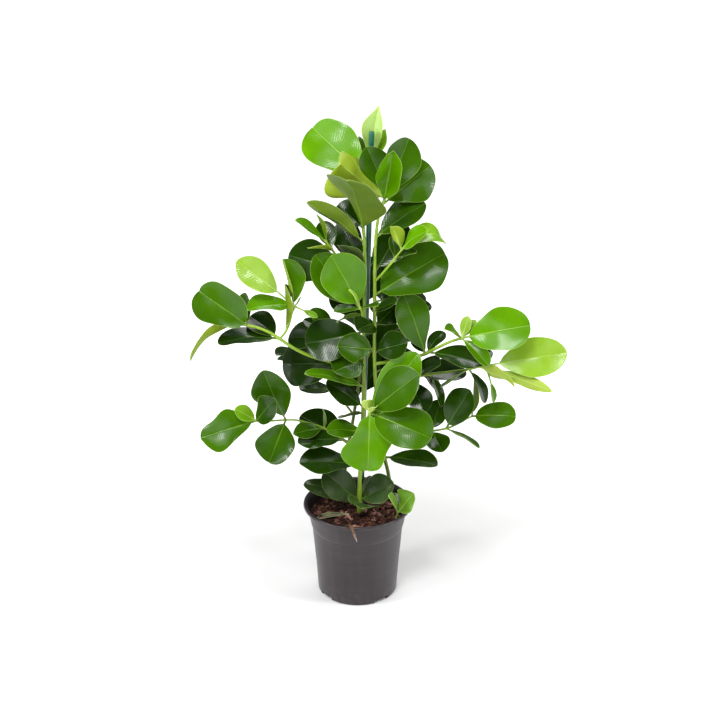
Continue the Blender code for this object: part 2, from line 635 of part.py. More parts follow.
def leaf_solid(leaf, pose, name):
    """One leaf as a closed solid: a flat grid, thickened, then bent to shape."""
    long = pose[1].length > LONG_LEAF
    stations = leaf_stations(leaf, LONG_LEAF_STEPS if long else SHORT_LEAF_STEPS)
    rows = len(stations) - 1
    bm = bmesh.new()
    bmesh.ops.create_grid(bm, x_segments=rows, y_segments=2, size=0.5)
    bmesh.ops.triangulate(bm, faces=bm.faces[:], quad_method="FIXED")
    raised = bmesh.ops.extrude_face_region(bm, geom=bm.faces[:], use_keep_orig=True)
    for vertex in raised["geom"]:
        if isinstance(vertex, bmesh.types.BMVert):
            vertex.co.z = 1.0
    for vertex in bm.verts:
        station = stations[round((vertex.co.x + 0.5) * rows)]
        vertex.co = leaf_point(leaf, pose, station, 2 * vertex.co.y, vertex.co.z)
    return mesh_from(bm, name)


def leaf_trees(leaf, pose):
    """Search trees of the room a leaf needs: all of it, and its blade without the stalk."""
    trees = []
    for first in (WHOLE_START, BLADE_START):
        points = []
        for row in range(CLEAR_ROWS + 1):
            t = first + (1 - first) * row / CLEAR_ROWS
            for layer in (0, 1):
                for v in (-CLEAR_EDGE, 0.0, CLEAR_EDGE):
                    points.append(leaf_point(leaf, pose, t, v, layer, CLEAR_THICKNESS))
        faces = []
        for row in range(CLEAR_ROWS):
            low = 6 * row
            ring = [low, low + 1, low + 2, low + 5, low + 4, low + 3]
            for here, there in zip(ring, ring[1:] + ring[:1]):
                faces.append((here, there, there + 6, here + 6))
        trees.append(BVHTree.FromPolygons(points, faces))
    middle = leaf_point(leaf, pose, 0.5, 0.0, 0.5)
    return trees, middle, pose[1].length * 0.8


def swung(reach, yaw, pitch):
    """A reach turned in plan and raised or lowered, by angles in degrees."""
    side = Vector((-reach.y, reach.x, 0.0))
    if side.length < 1e-6:
        side = Vector((0.0, 1.0, 0.0))
    turned_up = Matrix.Rotation(math.radians(-pitch), 3, side.normalized()) @ reach
    return Matrix.Rotation(math.radians(yaw), 3, "Z") @ turned_up


def tries():
    """Changes of heading, rise and roll to try, smallest first."""
    options = []
    for swing in SWINGS:
        for yaw in (-swing, 0, swing):
            for pitch in (-swing, 0, swing):
                for roll in (-swing, 0, swing):
                    options.append((yaw, pitch, roll))
    unique = sorted(set(options), key=lambda o: (o[0] ** 2 + o[1] ** 2 + 0.6 * o[2] ** 2, o))
    return unique[:MOST_TRIES]


class Crowd:
    """Everything placed so far, to keep each new leaf clear of it."""

    def __init__(self):
        self.solids = []
        self.options = tries()

    def add_solid(self, node, mesh):
        tree = search_tree(mesh)
        self.solids.append((node, tree, tree, None, 0.0))

    def clear(self, node, trees, middle, size):
        for owner, whole, blade, centre, radius in self.solids:
            if centre and (centre - middle).length > radius + size:
                continue
            if owner == node:
                if trees[1].overlap(blade):
                    return False
            elif trees[0].overlap(whole):
                return False
        return True

    def place(self, node, leaf, root):
        """The leaf's pose, bent clear of what is there; it joins the crowd."""
        wanted = Vector(leaf.reach) * MM
        for scale in SHRINKS:
            for yaw, pitch, roll in self.options:
                pose = (root, swung(wanted, yaw, pitch) * scale,
                        math.radians(leaf.roll + roll), scale)
                trees, middle, size = leaf_trees(leaf, pose)
                if self.clear(node, trees, middle, size):
                    self.solids.append((node, trees[0], trees[1], middle, size))
                    return pose
        raise ValueError("no room for a leaf of " + node)


def make_stake():
    path = [Vector(STAKE_FOOT) * MM, Vector(STAKE_TOP) * MM]
    mesh = tube(path, [STAKE_RADIUS] * 2, STAKE_SIDES, "stake")
    return add_look(add_object("stake", mesh), "stake_coating")


def make_husk():
    """The dry strand that hangs over the pot's front rim."""
    lip = POT_HEIGHT
    route = [(-28, -84, lip - 14), (-24, -98, lip - 7), (-19, -110, lip + 2.4),
             (-15, -117, lip + 3.6), (-11, -123.4, lip + 1.4), (-7, -126, lip - 9),
             (-4, -125.4, lip - 20), (-1, -124, lip - 30)]
    path = smooth_route(route)
    radii = [(1.2 + 1.2 * math.sin(math.pi * index / (len(path) - 1))) * MM
             for index in range(len(path))]
    return add_look(add_object("husk", tube(path, radii, STEM_SIDES, "husk")), "dry_husk")


def make_fallen_leaf(crowd):
    """A narrow dry leaf that lies on the soil at the left."""
    leaf = Leaf(0, (-74, -4, -7), 20, 0, 20, 8, 0.1)
    pose = (Vector((-18, -28, 197.8)) * MM, Vector(leaf.reach) * MM, 0.0, 1.0)
    item = add_object("fallen_leaf", leaf_solid(leaf, pose, "fallen_leaf"))
    crowd.add_solid("fallen_leaf", item.data)
    return add_look(item, "dry_husk")


def stem_mesh(path, radii, name):
    """A stem's own solid, with a ring at each point of its route."""
    return tube(path[::ROUTE_PIECES], radii[::ROUTE_PIECES], STEM_SIDES, name)


def main():
    clear_scene()
    crowd = Crowd()
    pot = make_pot()
    stake = make_stake()
    husk = make_husk()
    stems = {}
    for shoot in SHOOTS:
        path, radii = stem_path(shoot, stems)
        mesh = stem_mesh(path, radii, shoot.name)
        stems[shoot.name] = (path, mesh, search_tree(mesh))
    standing = [(shoot.route, shoot.radii[0] * MM) for shoot in SHOOTS if not shoot.parent]
    middle = tuple((low + high) / 2 for low, high in zip(STAKE_FOOT, STAKE_TOP))
    soil = make_soil(standing + [((STAKE_FOOT, middle, STAKE_TOP), STAKE_RADIUS)])
    for fixed in (pot, stake, husk, soil):
        crowd.add_solid(fixed.name, fixed.data)
    make_fallen_leaf(crowd)
    for name, (_, mesh, _) in stems.items():
        crowd.add_solid(name, mesh)
    for shoot in LEAF_ORDER:
        path, mesh, _ = stems[shoot.name]
        leaves = []
        for leaf in shoot.leaves:
            pose = crowd.place(shoot.name, leaf, point_at(path, leaf.node))
            leaves.append(add_object("leaf", leaf_solid(leaf, pose, "leaf")))
        stem = add_object(shoot.name, mesh)
        combine(stem, leaves, "UNION")
        add_look(stem, NODE_LOOKS.get(shoot.name, "leaf_green"))


main()
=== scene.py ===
import json
import math
import random
from collections import namedtuple

import bpy
import bmesh
import numpy
from mathutils import Matrix, Vector, noise
from mathutils.bvhtree import BVHTree

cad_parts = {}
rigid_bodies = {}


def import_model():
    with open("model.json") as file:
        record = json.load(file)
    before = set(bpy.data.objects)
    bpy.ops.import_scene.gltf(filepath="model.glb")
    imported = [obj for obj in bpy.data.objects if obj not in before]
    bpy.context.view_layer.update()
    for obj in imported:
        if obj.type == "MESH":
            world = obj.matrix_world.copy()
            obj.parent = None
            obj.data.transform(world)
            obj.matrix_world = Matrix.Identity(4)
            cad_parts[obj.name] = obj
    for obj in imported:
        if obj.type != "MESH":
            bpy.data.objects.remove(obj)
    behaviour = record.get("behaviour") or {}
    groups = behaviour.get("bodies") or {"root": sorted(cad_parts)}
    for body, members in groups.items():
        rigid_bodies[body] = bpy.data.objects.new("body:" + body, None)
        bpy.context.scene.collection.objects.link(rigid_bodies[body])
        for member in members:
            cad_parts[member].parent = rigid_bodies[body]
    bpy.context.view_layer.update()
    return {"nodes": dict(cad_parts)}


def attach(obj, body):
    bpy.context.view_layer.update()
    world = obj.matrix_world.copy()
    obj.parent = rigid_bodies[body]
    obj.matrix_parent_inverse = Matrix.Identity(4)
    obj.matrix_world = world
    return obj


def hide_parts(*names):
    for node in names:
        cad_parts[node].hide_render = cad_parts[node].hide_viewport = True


# The looks of the autograph tree in its nursery pot: leaves, stems, pot, bark, stake, husk.
# Metres, +Z up, front towards -Y. Routes and reaches are in millimetres.

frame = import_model()

MM = 0.001
GAP = 0.3 * MM
AXIS = Vector((0.0, 0.0, 1.0))

# Pot: radius and height of each corner of its section, in millimetres
POT_HEIGHT = 215
LIP_RADIUS = 120
POT_OUTSIDE = ((0, 0), (84, 0), (87.2, 1.2), (88.6, 4.5), (92.5, 66), (97, 117), (100.6, 160),
               (102.2, 163), (104.6, 173), (109.2, 203), (112.4, 207.4), (119.2, 207.8),
               (LIP_RADIUS, 210), (119, 214.2), (116.6, POT_HEIGHT))
POT_INSIDE = ((113, 214.4), (108.4, 208), (102.4, 173.4), (98.4, 160), (94.9, 117),
              (90.4, 66), (86.6, 6), (84.4, 2.4), (0, 2.4))
POT_SEGMENTS = 144
CORNER_ROUNDING = 1.1
WALL = 2.0 * MM
POCKET_HEIGHT = 8 * MM
POCKET_ANGLE = math.radians(24)
POCKET_FIRST = math.radians(-52.5)
POCKET_FLOOR_RADIUS = 76 * MM
POCKET_STEPS = 8
BUMP_HEIGHT = POCKET_HEIGHT + 2.4 * MM
BUMP_LOW = 1.2 * MM
BUMP_RADIUS = 87.4 * MM
POT_SHARP_ANGLE = math.radians(32)

# Bark and coir in the pot: its heights are in millimetres
SOIL_EDGE_HEIGHT = 188
SOIL_CROWN = 7
SOIL_ROUGHNESS = 3.5 * MM
SOIL_LUMPS = 45
SOIL_RIPPLE = 1.6 * MM
SOIL_RIPPLES = 160
SOIL_RINGS = 26
SOIL_SEGMENTS = 96
CHIP_COUNT = 520
CRUMB_COUNT = 900
STRAND_COUNT = 130
CHIP_BATCH = 60
CHIP_SIZES = (2.4, 8.4)
CRUMB_SIZES = (0.8, 2.0)
# As shares of a chip's own size: its width, its depth, and how high it sits. Its lean and
# tilt are in radians.
CHIP_WIDTHS = (0.4, 0.8)
CHIP_DEPTHS = (0.2, 0.4)
CHIP_RISES = (0.0, 0.45)
CHIP_LEAN = 0.5
CHIP_TILT = 0.4
CHIP_SWELL = 0.75
CHIP_LUMPS = 1.5
CHIP_CORNERS = 0.7
NOISE_SPAN = 50
# Shades run from 0, dark, to 1, pale. Few chips are pale, and more of them in front, to the
# right of PALE_FROM.
PLUG_SHADE = 0.25
DARK_BIAS = 1.6
PALE_FROM = 30 * MM
PALE_SHARE = 0.3
# Root strands: lengths, radii and heights over the bark in millimetres, turns in radians
STRAND_POINTS = 6
STRAND_REACH = 0.88
STRAND_TURN = 1.4
STRAND_WANDER = 0.5
STRAND_LENGTHS = (12, 34)
STRAND_RADII = (0.25, 0.5)
STRAND_RISES = (1.0, 4.0)
STRAND_SHADES = (0.3, 1.0)
THREAD_SIDES = 4

# Stems
ROUTE_PIECES = 2
STEM_SIDES = 6
ROOT_SUNK = 0.3
SEAT_START = 16 * MM
SEAT_SAMPLES = 24
SEAT_SHARE = 0.93
SEAT_GAP = 0.35 * MM
FINE_PIECES = 7
FINE_SIDES = 14
# The swelling and the scar where a leaf sits: their lengths count along the fine pieces
NODE_SWELL = 0.16
NODE_LENGTH = 1.5
SCAR_LENGTH = 1.3
NO_NODE = 9

# Stake
STAKE_RADIUS = 5.7 * MM
STAKE_FOOT = (4, 20, 40)
STAKE_TOP = (29, 18, 1043)
STAKE_SIDES = 48
STAKE_FLUTE_EVERY = 4
STAKE_FLUTE = 0.94
STAKE_PIECES = 40
STAKE_CUT = 0.997
STAKE_CHAMFER = 0.88

# Dry stalk over the rim: radii and lengths in millimetres
HUSK_ROUTE = ((-28, -84, POT_HEIGHT - 14), (-24, -98, POT_HEIGHT - 7),
              (-19, -110, POT_HEIGHT + 2.4), (-15, -117, POT_HEIGHT + 3.6),
              (-11, -123.4, POT_HEIGHT + 1.4), (-7, -126, POT_HEIGHT - 9),
              (-4, -125.4, POT_HEIGHT - 20), (-1, -124, POT_HEIGHT - 30))
HUSK_PIECES = 6
HUSK_SIDES = 12
HUSK_END = 1.0
HUSK_SWELL = 2.3
HUSK_BROAD_PLACE = 1.3
HUSK_LUMPS = 0.22
HUSK_RIDGES = 900
FIBRE_COUNT = 26
FIBRE_STEPS = 4
FIBRE_LENGTHS = (6, 16)
FIBRE_RADIUS = 0.3
FIBRE_SPREAD = 7
FIBRE_SAG = 4

# Leaves
BLADE_THICKNESS = 1.2 * MM
STALK_THICKNESS = 3.6 * MM
STALK_HALF_WIDTH = 2.1 * MM
STALK_FADE = 0.16
TIP_REACH = 0.97
BROAD_PLACE = 1.35
VEIN_SPACING = 5.2 * MM
WAVE_LAG = 2.4
TONE_SPREAD = 0.03
# Ripples near the rim: height in millimetres on a leaf of the usual width, and their count
RIPPLE = 2.4
RIPPLE_SHARES = (0.5, 1.0)
RIPPLE_BEATS = (0.8, 1.6)
RIPPLE_START = 2.2
USUAL_WIDTH = 70
MOST_RIPPLE = 1.3
SWELL = 4.0 * MM
SWELL_SCALE = 24
OUTLINE_SWAY = 0.12
OUTLINE_BEATS = 2.8
MIDRIB_RISE = 0.35
RIM_THICKNESS = 0.2
TIP_END = 1.012
TIP_NARROWING = 6
ALONG_STEPS = 26
TIP_CROWDING = 1.7
MIDRIB_EDGE = 1.1 * MM
BESIDE_MIDRIB = 3.2 * MM
ACROSS = (0.24, 0.45, 0.64, 0.82, 0.94, 1.0)
MIDRIB_GROOVE = 0.35 * MM
MIDRIB_KEEL = 1.0 * MM
TIP_HALF_WIDTH = 0.15 * MM
SHARP_ANGLE = math.radians(50)

# Room kept round a leaf while it is bent clear of its neighbours
CLEAR_THICKNESS = 3.0 * MM
CLEAR_ROWS = 6
CLEAR_EDGE = 1.02
WHOLE_START = 0.02
BLADE_START = 0.24
SWINGS = (0, 7, 14, 21, 28, 36)
SHRINKS = (1.0, 0.85, 0.7, 0.55)
MOST_TRIES = 220
ROLL_COST = 0.6
LEAF_ROOM = 0.8

# A leaf's tone runs from 0, deep green, to 1, pale lime. Its wave is in millimetres.
# A positive lobe widens a leaf's left half near its root and its right half near its tip.
Leaf = namedtuple("Leaf", "node reach wide roll droop cup stalk blunt twist lobe wave tone",
                  defaults=(18, 14, 0.12, 0.55, 0, 0, 0, 0.12))
Shoot = namedtuple("Shoot", "name parent radii route leaves")

# The dry leaf on the bark, and the place of its root
DRY_LEAF = Leaf(0, (-74, -4, -7), 20, 0, 20, 8, 0.1, tone=0.34)
DRY_LEAF_ROOT = (-18, -28, 197.8)

# Upright stems. A leaf's node counts along its stem's route, 0 being the first point.
LEADER = Shoot(
    "stem_leader", None, (5.2, 2.4),
    [(2, 2, 120), (2, 2, 200), (8, -6, 320), (13, -10, 420), (14, -12, 490), (14, -14, 560),
     (14, -14, 625), (15, -14, 690), (16, -14, 760), (15, -13, 820), (11, -8, 868),
     (10, 7, 910), (14, 26, 950), (20, 35, 966)],
    [Leaf(12, (-105, 64, 82), 106, -54, 22, 12, 0.12, 0.38, 0, 0.06, 4, tone=0.66),
     Leaf(13, (24, 2, 126), 48, 75, 10, 30, 0.08, 1.4, 0, 0.1, tone=0.97),
     Leaf(12.6, (32, 10, 84), 34, 60, 10, 20, 0.1, 1.0, tone=0.80),
     Leaf(13, (-14, 30, 58), 34, -60, 10, 20, 0.1, 1.0, tone=0.35),
     Leaf(9.6, (-27, -120, 153), 124, -26, 14, 18, 0.04, 0.75, 0, -0.24, 5, tone=0.30),
     Leaf(9.6, (-36, 26, 60), 56, -60, 18, 14, 0.12, 0.55, tone=0.14),
     Leaf(9, (-114, -26, 92), 66, 30, 12, 20, tone=0.42),
     Leaf(8, (-58, -30, 55), 58, 25, tone=0.10),
     Leaf(8.2, (-60, 52, 72), 66, -60, tone=0.10),
     Leaf(7.6, (-80, 68, 30), 74, -35, tone=0.10),
     Leaf(6, (-121, -6, -24), 92, -68, 20, 14, 0.12, 0.5, 0, 0, 4, tone=0.10),
     Leaf(6.3, (-61, 58, 66), 70, -45, tone=0.10),
     Leaf(6.6, (-33, -56, 22), 42, 10, 30, tone=0.30),
     Leaf(4.1, (-120, -78, 66), 40, -24, 24, 14, 0.12, 0.55, 20, 0, 4, tone=0.50),
     Leaf(5, (-63, -8, -42), 80, -54, 16, 16, 0.06, 0.5, tone=0.34),
     Leaf(3.4, (-78, -24, 70), 60, -50),
     Leaf(3.2, (-51, -48, 12), 42, 30, tone=0.10),
     Leaf(5.2, (60, 74, 40), 76, 20, tone=0.10)])

SECOND = Shoot(
    "stem_right", None, (4.6, 2.6),
    [(74, 52, 120), (74, 52, 200), (70, 45, 255), (60, 34, 307), (48, 16, 378), (42, -2, 455),
     (38, -16, 520), (36, -22, 582), (36, -24, 640), (36, -24, 710), (36, -24, 772),
     (38, -22, 835), (44, -20, 881), (55, -22, 915), (58, -22, 928)],
    [Leaf(12.8, (18, -30, 112), 68, 150, 16, 44, 0.08, 0.7, 0, 0.1, 4, tone=0.62),
     Leaf(13.1, (-77, -42, 93), 140, 98, 20, 54, 0.06, 0.6, 0, -0.16, 6, tone=0.70),
     Leaf(13.6, (46, 40, 104), 84, 72, 10, 24, tone=0.32),
     Leaf(14, (-38, 20, 90), 66, -44, 16, 6, 0.1, 0.7, tone=0.36),
     Leaf(12.6, (96, 44, 68), 94, 60, 14, 12, tone=0.36),
     Leaf(11, (99, 2, 69), 80, 35, 20, 18, tone=0.30),
     Leaf(9, (143, 26, 82), 112, 56, 24, 10, 0.1, 0.42, 0, -0.08, 6, tone=0.36),
     Leaf(9.8, (62, 56, 84), 74, 60),
     Leaf(8.8, (112, 62, -14), 74, 25),
     Leaf(8, (60, 34, 60), 66, 50),
     Leaf(8.1, (-46, -46, 26), 56, -30),
     Leaf(8.5, (44, -40, 34), 46, 30),
     Leaf(7, (66, -18, 42), 64, 50, tone=0.15),
     Leaf(7.1, (-76, -44, 26), 64, -62, 14, 14, 0.12, 0.5, 0, 0.1, 4, tone=0.34),
     Leaf(5, (58, 30, 84), 66, 60, tone=0.20),
     Leaf(3, (112, -64, 12), 64, 15, 24, tone=0.30),
     Leaf(6.2, (84, 66, 20), 76, 15, tone=0.10)])

FRONT = Shoot(
    "stem_front", None, (5.7, 3.2),
    [(5, -14, 120), (5, -14, 200), (5, -16, 266), (7, -19, 315), (13, -36, 393),
     (21, -51, 436), (27, -58, 462)],
    [Leaf(6, (-4, -28, -121), 98, -10, 16, 10, 0.05, 0.4, 8, -0.24, 7, tone=0.62),
     Leaf(6, (100, -37, 103), 92, 58, 16, 12, tone=0.42),
     Leaf(5.9, (127, -44, -38), 92, 53, 26, 14, 0.1, 0.42, 0, 0.06, 6, tone=0.42),
     Leaf(6, (-7, -22, 40), 26, 20, 10, 30, tone=0.95),
     Leaf(6, (10, -26, 36), 22, 10, 10, 30, tone=0.95),
     Leaf(4.3, (-75, -36, 12), 54, -25, tone=0.42),
     Leaf(3, (-130, -32, 20), 88, -15, 22, tone=0.20),
     Leaf(1.3, (-67, -8, 88), 74, -70, tone=0.15),
     Leaf(1.35, (74, -22, 54), 68, 50, 22, tone=0.20),
     Leaf(1.2, (5, -62, 26), 70, 0, 40, 14, 0.12, 0.55, 0, 0.2, 6, tone=0.25),
     Leaf(1.6, (22, 30, 42), 42, 30, tone=0.20),
     Leaf(5, (84, -5, 168), 76, 72, 16, 10, 0.12, 0.5, 0, 0, 4, tone=0.62),
     Leaf(1.45, (-116, -36, 30), 46, -20, 34, 14, 0.12, 0.5, 0, 0.1, 5)])

# Side shoots and branches: their route starts on the parent's axis.
BRANCH_LEFT = Shoot(
    "branch_left_upper", "stem_leader", (3.8, 3.0),
    [(14, -13, 535), (-37, -18, 554), (-91, -22, 571), (-130, -30, 593), (-161, -38, 619),
     (-181, -40, 633), (-205, -42, 645), (-230, -44, 652)],
    [Leaf(7, (-98, 8, 72), 100, -60, 64, 34, 0.08, 0.5, 0, 0.1, 4, tone=0.42),
     Leaf(7, (-112, -60, -54), 60, 40, 80, 18, 0.06, 0.5, tone=0.62),
     Leaf(6.9, (-100, -20, 2), 44, -22, 20, tone=0.80),
     Leaf(7, (-10, 25, 62), 40, -50, tone=0.35),
     Leaf(4, (-122, -20, 32), 76, -22, 22, tone=0.15),
     Leaf(4.2, (-60, 32, 40), 62, -25),
     Leaf(1, (-122, 42, -18), 102, -66, 22, 10, 0.1, 0.5, tone=0.06)])

TWIG_LEFT = Shoot(
    "twig_left_upper", "branch_left_upper", (2.4, 1.8),
    [(-161, -38, 619), (-150, -35, 632), (-141, -32, 650), (-135, -28, 672), (-128, -24, 688)],
    [Leaf(4, (-114, -24, 106), 68, -60, 14, 16, 0.34, 0.55, tone=0.92),
     Leaf(4, (-94, -36, 6), 60, -20, 34, 24, 0.16, 0.5, 0, -0.2, 3, tone=0.62),
     Leaf(3.6, (-20, 12, 102), 72, 0, 10, 50, tone=0.55),
     Leaf(1.2, (-4, -22, 98), 56, 78, 10, 30, tone=0.50),
     Leaf(4, (46, -12, -20), 18, 20, 10, 10, 0.4, tone=0.80),
     Leaf(4, (12, 4, 20), 8, 0, 5, 10, tone=0.90)])

BRANCH_LOW_LEFT = Shoot(
    "branch_left_lower", "stem_leader", (2.6, 1.8),
    [(9, -7, 345), (-30, -10, 372), (-72, -15, 402), (-123, -20, 422), (-153, -22, 425),
     (-187, -25, 424), (-221, -28, 425)],
    [Leaf(6, (-116, -32, -24), 78, -52, 24, 10, 0.1, 0.62, 0, 0.28, 5, tone=0.45),
     Leaf(6, (-44, -12, 34), 38, -50, 20, 24, tone=0.74),
     Leaf(4, (-47, 7, 111), 78, -80, 18, 14, 0.1, 0.6, 0, 0.14, 5, tone=0.32),
     Leaf(6, (44, -34, 66), 56, 84, 20, 14, 0.06, 0.5, 0, 0.1, 4, tone=0.22),
     Leaf(4, (-36, -30, -86), 84, -40, 22, 12, 0.1, 0.5, 0, -0.1, 6, tone=0.34),
     Leaf(2, (-4, -6, 48), 28, -40, tone=0.30),
     Leaf(2, (-68, -28, 4), 42, -30, 22, 14, 0.1, 0.8, tone=0.25),
     Leaf(1, (-96, -40, 12), 60, -26, 24, 12, tone=0.22)])

BRANCH_RIGHT = Shoot(
    "branch_right_upper", "stem_right", (4.0, 3.0),
    [(37, -20, 555), (90, -18, 562), (125, -18, 571), (143, -20, 578), (173, -26, 597),
     (198, -28, 610), (221, -30, 618)],
    [Leaf(6, (138, -18, 36), 94, 58, 18, 10, 0.12, 0.45, 0, 0, 4, tone=0.66),
     Leaf(6, (-40, -40, 34), 38, -30, 30, 30, tone=0.50),
     Leaf(5.9, (58, -46, -34), 36, 26, 30, 30, tone=0.50),
     Leaf(6, (14, 10, 45), 24, 30, tone=0.88),
     Leaf(6, (30, 20, 32), 24, 30, tone=0.88),
     Leaf(3, (-48, 2, 135), 78, -62, 14, 8, 0.08, 0.72, tone=0.36),
     Leaf(3.2, (112, -42, 4), 66, 18, 20, tone=0.20),
     Leaf(3, (-24, 16, 34), 30, -40, tone=0.15),
     Leaf(3.1, (40, 30, 36), 36, 10, tone=0.15)])

BRANCH_RIGHT_MID = Shoot(
    "branch_right_middle", "stem_right", (3.4, 2.2),
    [(40, -10, 495), (91, -6, 514), (140, -14, 526), (175, -18, 533), (206, -22, 539),
     (236, -26, 545), (256, -30, 552), (280, -31, 557)],
    [Leaf(7, (159, -14, 34), 86, 64, 12, 8, 0.14, tone=0.92),
     Leaf(6, (150, -52, -14), 28, -100, 34, 20, 0.2, 0.6, tone=0.86),
     Leaf(6, (78, -38, -14), 62, -50, 20, 16, 0.08, 0.6, 0, 0, 4, tone=0.80),
     Leaf(6.6, (44, -30, -58), 24, -20, 20, 10, 0.5, tone=0.55),
     Leaf(5, (49, 36, 26), 36, 20, tone=0.20),
     Leaf(5, (37, -14, -70), 42, 10, 20, tone=0.20),
     Leaf(5, (-60, -36, -26), 42, 35, tone=0.25),
     Leaf(2.4, (24, -20, -66), 50, -20, 20, tone=0.20),
     Leaf(1.3, (66, -46, 48), 72, 20, tone=0.15),
     Leaf(1.3, (34, -50, -58), 62, 10, 20, tone=0.15),
     Leaf(1.6, (110, 34, -18), 64, 34, 20, tone=0.06),
     Leaf(2, (42, 34, -64), 56, 40, 20, tone=0.06)])

BRANCH_LOW_RIGHT = Shoot(
    "branch_right_lower", "stem_right", (2.6, 1.8),
    [(53, 23, 350), (80, 14, 364), (115, 8, 377), (162, 0, 388), (192, -4, 396),
     (215, -8, 408), (232, -10, 420), (249, -12, 430)],
    [Leaf(4, (36, -14, 104), 68, 75, 14, 12, tone=0.25),
     Leaf(7, (-3, -30, 77), 46, 76, 10, 24, tone=0.45),
     Leaf(7, (90, -30, 14), 60, 52, 50, 14, 0.1, 0.45, tone=0.40),
     Leaf(4, (68, -40, -28), 54, -24, 16, tone=0.35),
     Leaf(3, (18, 30, 60), 50, 30, tone=0.25),
     Leaf(3, (20, -56, -22), 52, 15, 20, tone=0.25)])

SHOOT_UPPER_LEFT = Shoot(
    "shoot_upper_left", "stem_leader", (2.8, 2.0),
    [(15, -14, 700), (-13, -10, 744), (-33, -14, 778), (-50, -20, 806), (-64, -26, 828)],
    [Leaf(4, (-62, -14, 50), 46, -16, tone=0.65),
     Leaf(4, (-12, 2, 60), 38, 28, tone=0.50),
     Leaf(3, (-18, 26, 56), 42, -30, tone=0.25),
     Leaf(3, (-46, -40, 20), 38, 20, tone=0.60),
     Leaf(1.4, (-120, 38, 22), 88, -60, 14, 4, tone=0.20)])

SHOOT_UPPER_RIGHT = Shoot(
    "shoot_upper_right", "stem_right", (2.8, 2.0),
    [(36, -24, 740), (52, -34, 762), (76, -44, 796), (92, -50, 820)],
    [Leaf(3, (-20, -25, 56), 34, 20, 20, 40, tone=0.72),
     Leaf(3, (86, 34, 6), 56, 25, 140, 12, tone=0.80),
     Leaf(3, (58, -20, 53), 50, 30, tone=0.62),
     Leaf(2, (-6, 16, 42), 26, 20, tone=0.25),
     Leaf(2, (40, -38, 26), 34, 10, tone=0.30)])

SHOOT_CENTRE = Shoot(
    "shoot_centre", "stem_leader", (2.8, 2.0),
    [(14, -14, 640), (12, -28, 662), (6, -40, 690)],
    [Leaf(2, (-58, -20, 121), 98, -85, 12, 10, tone=0.55),
     Leaf(1.8, (-92, 0, 116), 84, -75, 12, 10, tone=0.50),
     Leaf(2, (-18, -20, 54), 14, -60, 6, 50, tone=0.85),
     Leaf(2, (-54, -22, 2), 34, -10, 20, tone=0.35),
     Leaf(2, (34, -44, 22), 34, 10, 20, tone=0.35)])

SHOOT_CENTRE_LEFT = Shoot(
    "shoot_centre_left", "stem_leader", (2.8, 2.0),
    [(14, -14, 575), (-12, 0, 584), (-38, 4, 596), (-58, 6, 608)],
    [Leaf(3, (-44, 22, 52), 54, -30, 14, 50, tone=0.40),
     Leaf(3, (-58, 26, 30), 30, -30, tone=0.15),
     Leaf(2.6, (-92, 36, -10), 70, -40, 24),
     Leaf(1.4, (-104, 10, -34), 84, -78, 24)])


def paired(first, last, spacing, facing, length, wide, seed):
    """Opposite pairs of leaves on a stem at the back, fanned about a plan bearing.

    Every other pair spreads wide of the bearing, and the pairs between them stay near it.
    """
    draw = random.Random(seed)
    leaves = []
    for pair in range(int((last - first) / spacing) + 1):
        spread = (80, 34)[pair % 2]
        for side in (-1, 1):
            heading = math.radians(facing + side * spread + draw.uniform(-12, 12))
            rise = math.radians(draw.uniform(10, 40))
            size = length * draw.uniform(0.82, 1.06)
            reach = (size * math.cos(rise) * math.cos(heading),
                     size * math.cos(rise) * math.sin(heading),
                     size * math.sin(rise))
            leaves.append(Leaf(first + pair * spacing, reach, wide * draw.uniform(0.88, 1.05),
                               draw.uniform(-20, 20), draw.uniform(14, 34)))
    return leaves


STEM_BACK = Shoot(
    "stem_back", None, (4.6, 2.4),
    [(-34, 42, 120), (-34, 42, 200), (-24, 50, 300), (-8, 56, 400), (6, 60, 500),
     (16, 62, 600), (22, 60, 690), (26, 56, 770)],
    [Leaf(5.6, (4, 34, 92), 84, 10, 16)] + paired(2.3, 6.9, 1.1, 90, 128, 88, 11))

BRANCH_BACK_LEFT = Shoot(
    "branch_back_left", "stem_back", (2.8, 2.0),
    [(-8, 56, 400), (-40, 96, 428), (-74, 140, 462), (-98, 174, 500)],
    paired(1.3, 3.0, 0.8, 135, 108, 74, 23))

BRANCH_BACK_RIGHT = Shoot(
    "branch_back_right", "stem_back", (2.8, 2.0),
    [(8, 61, 515), (34, 102, 540), (62, 148, 572), (84, 184, 606)],
    paired(1.3, 3.0, 0.8, 50, 108, 74, 37))

SEEDLING = Shoot(
    "seedling_right", None, (2.2, 1.6),
    [(80, -44, 150), (83, -46, 190), (90, -52, 218)],
    [Leaf(2, (32, -6, 52), 50, 60, 10, 20, 0.12, 0.55, 0, 0.25, 5, tone=0.76),
     Leaf(2, (-8, -4, 62), 34, -50, 10, 20, tone=0.72),
     Leaf(1.7, (-6, 24, 40), 28, 20, tone=0.20)])

# Parents come before the shoots that grow on them.
SHOOTS = (LEADER, SECOND, FRONT, STEM_BACK, BRANCH_LEFT, TWIG_LEFT, BRANCH_LOW_LEFT,
          BRANCH_RIGHT, BRANCH_RIGHT_MID, BRANCH_LOW_RIGHT, SHOOT_UPPER_LEFT,
          SHOOT_UPPER_RIGHT, SHOOT_CENTRE, SHOOT_CENTRE_LEFT, BRANCH_BACK_LEFT,
          BRANCH_BACK_RIGHT, SEEDLING)
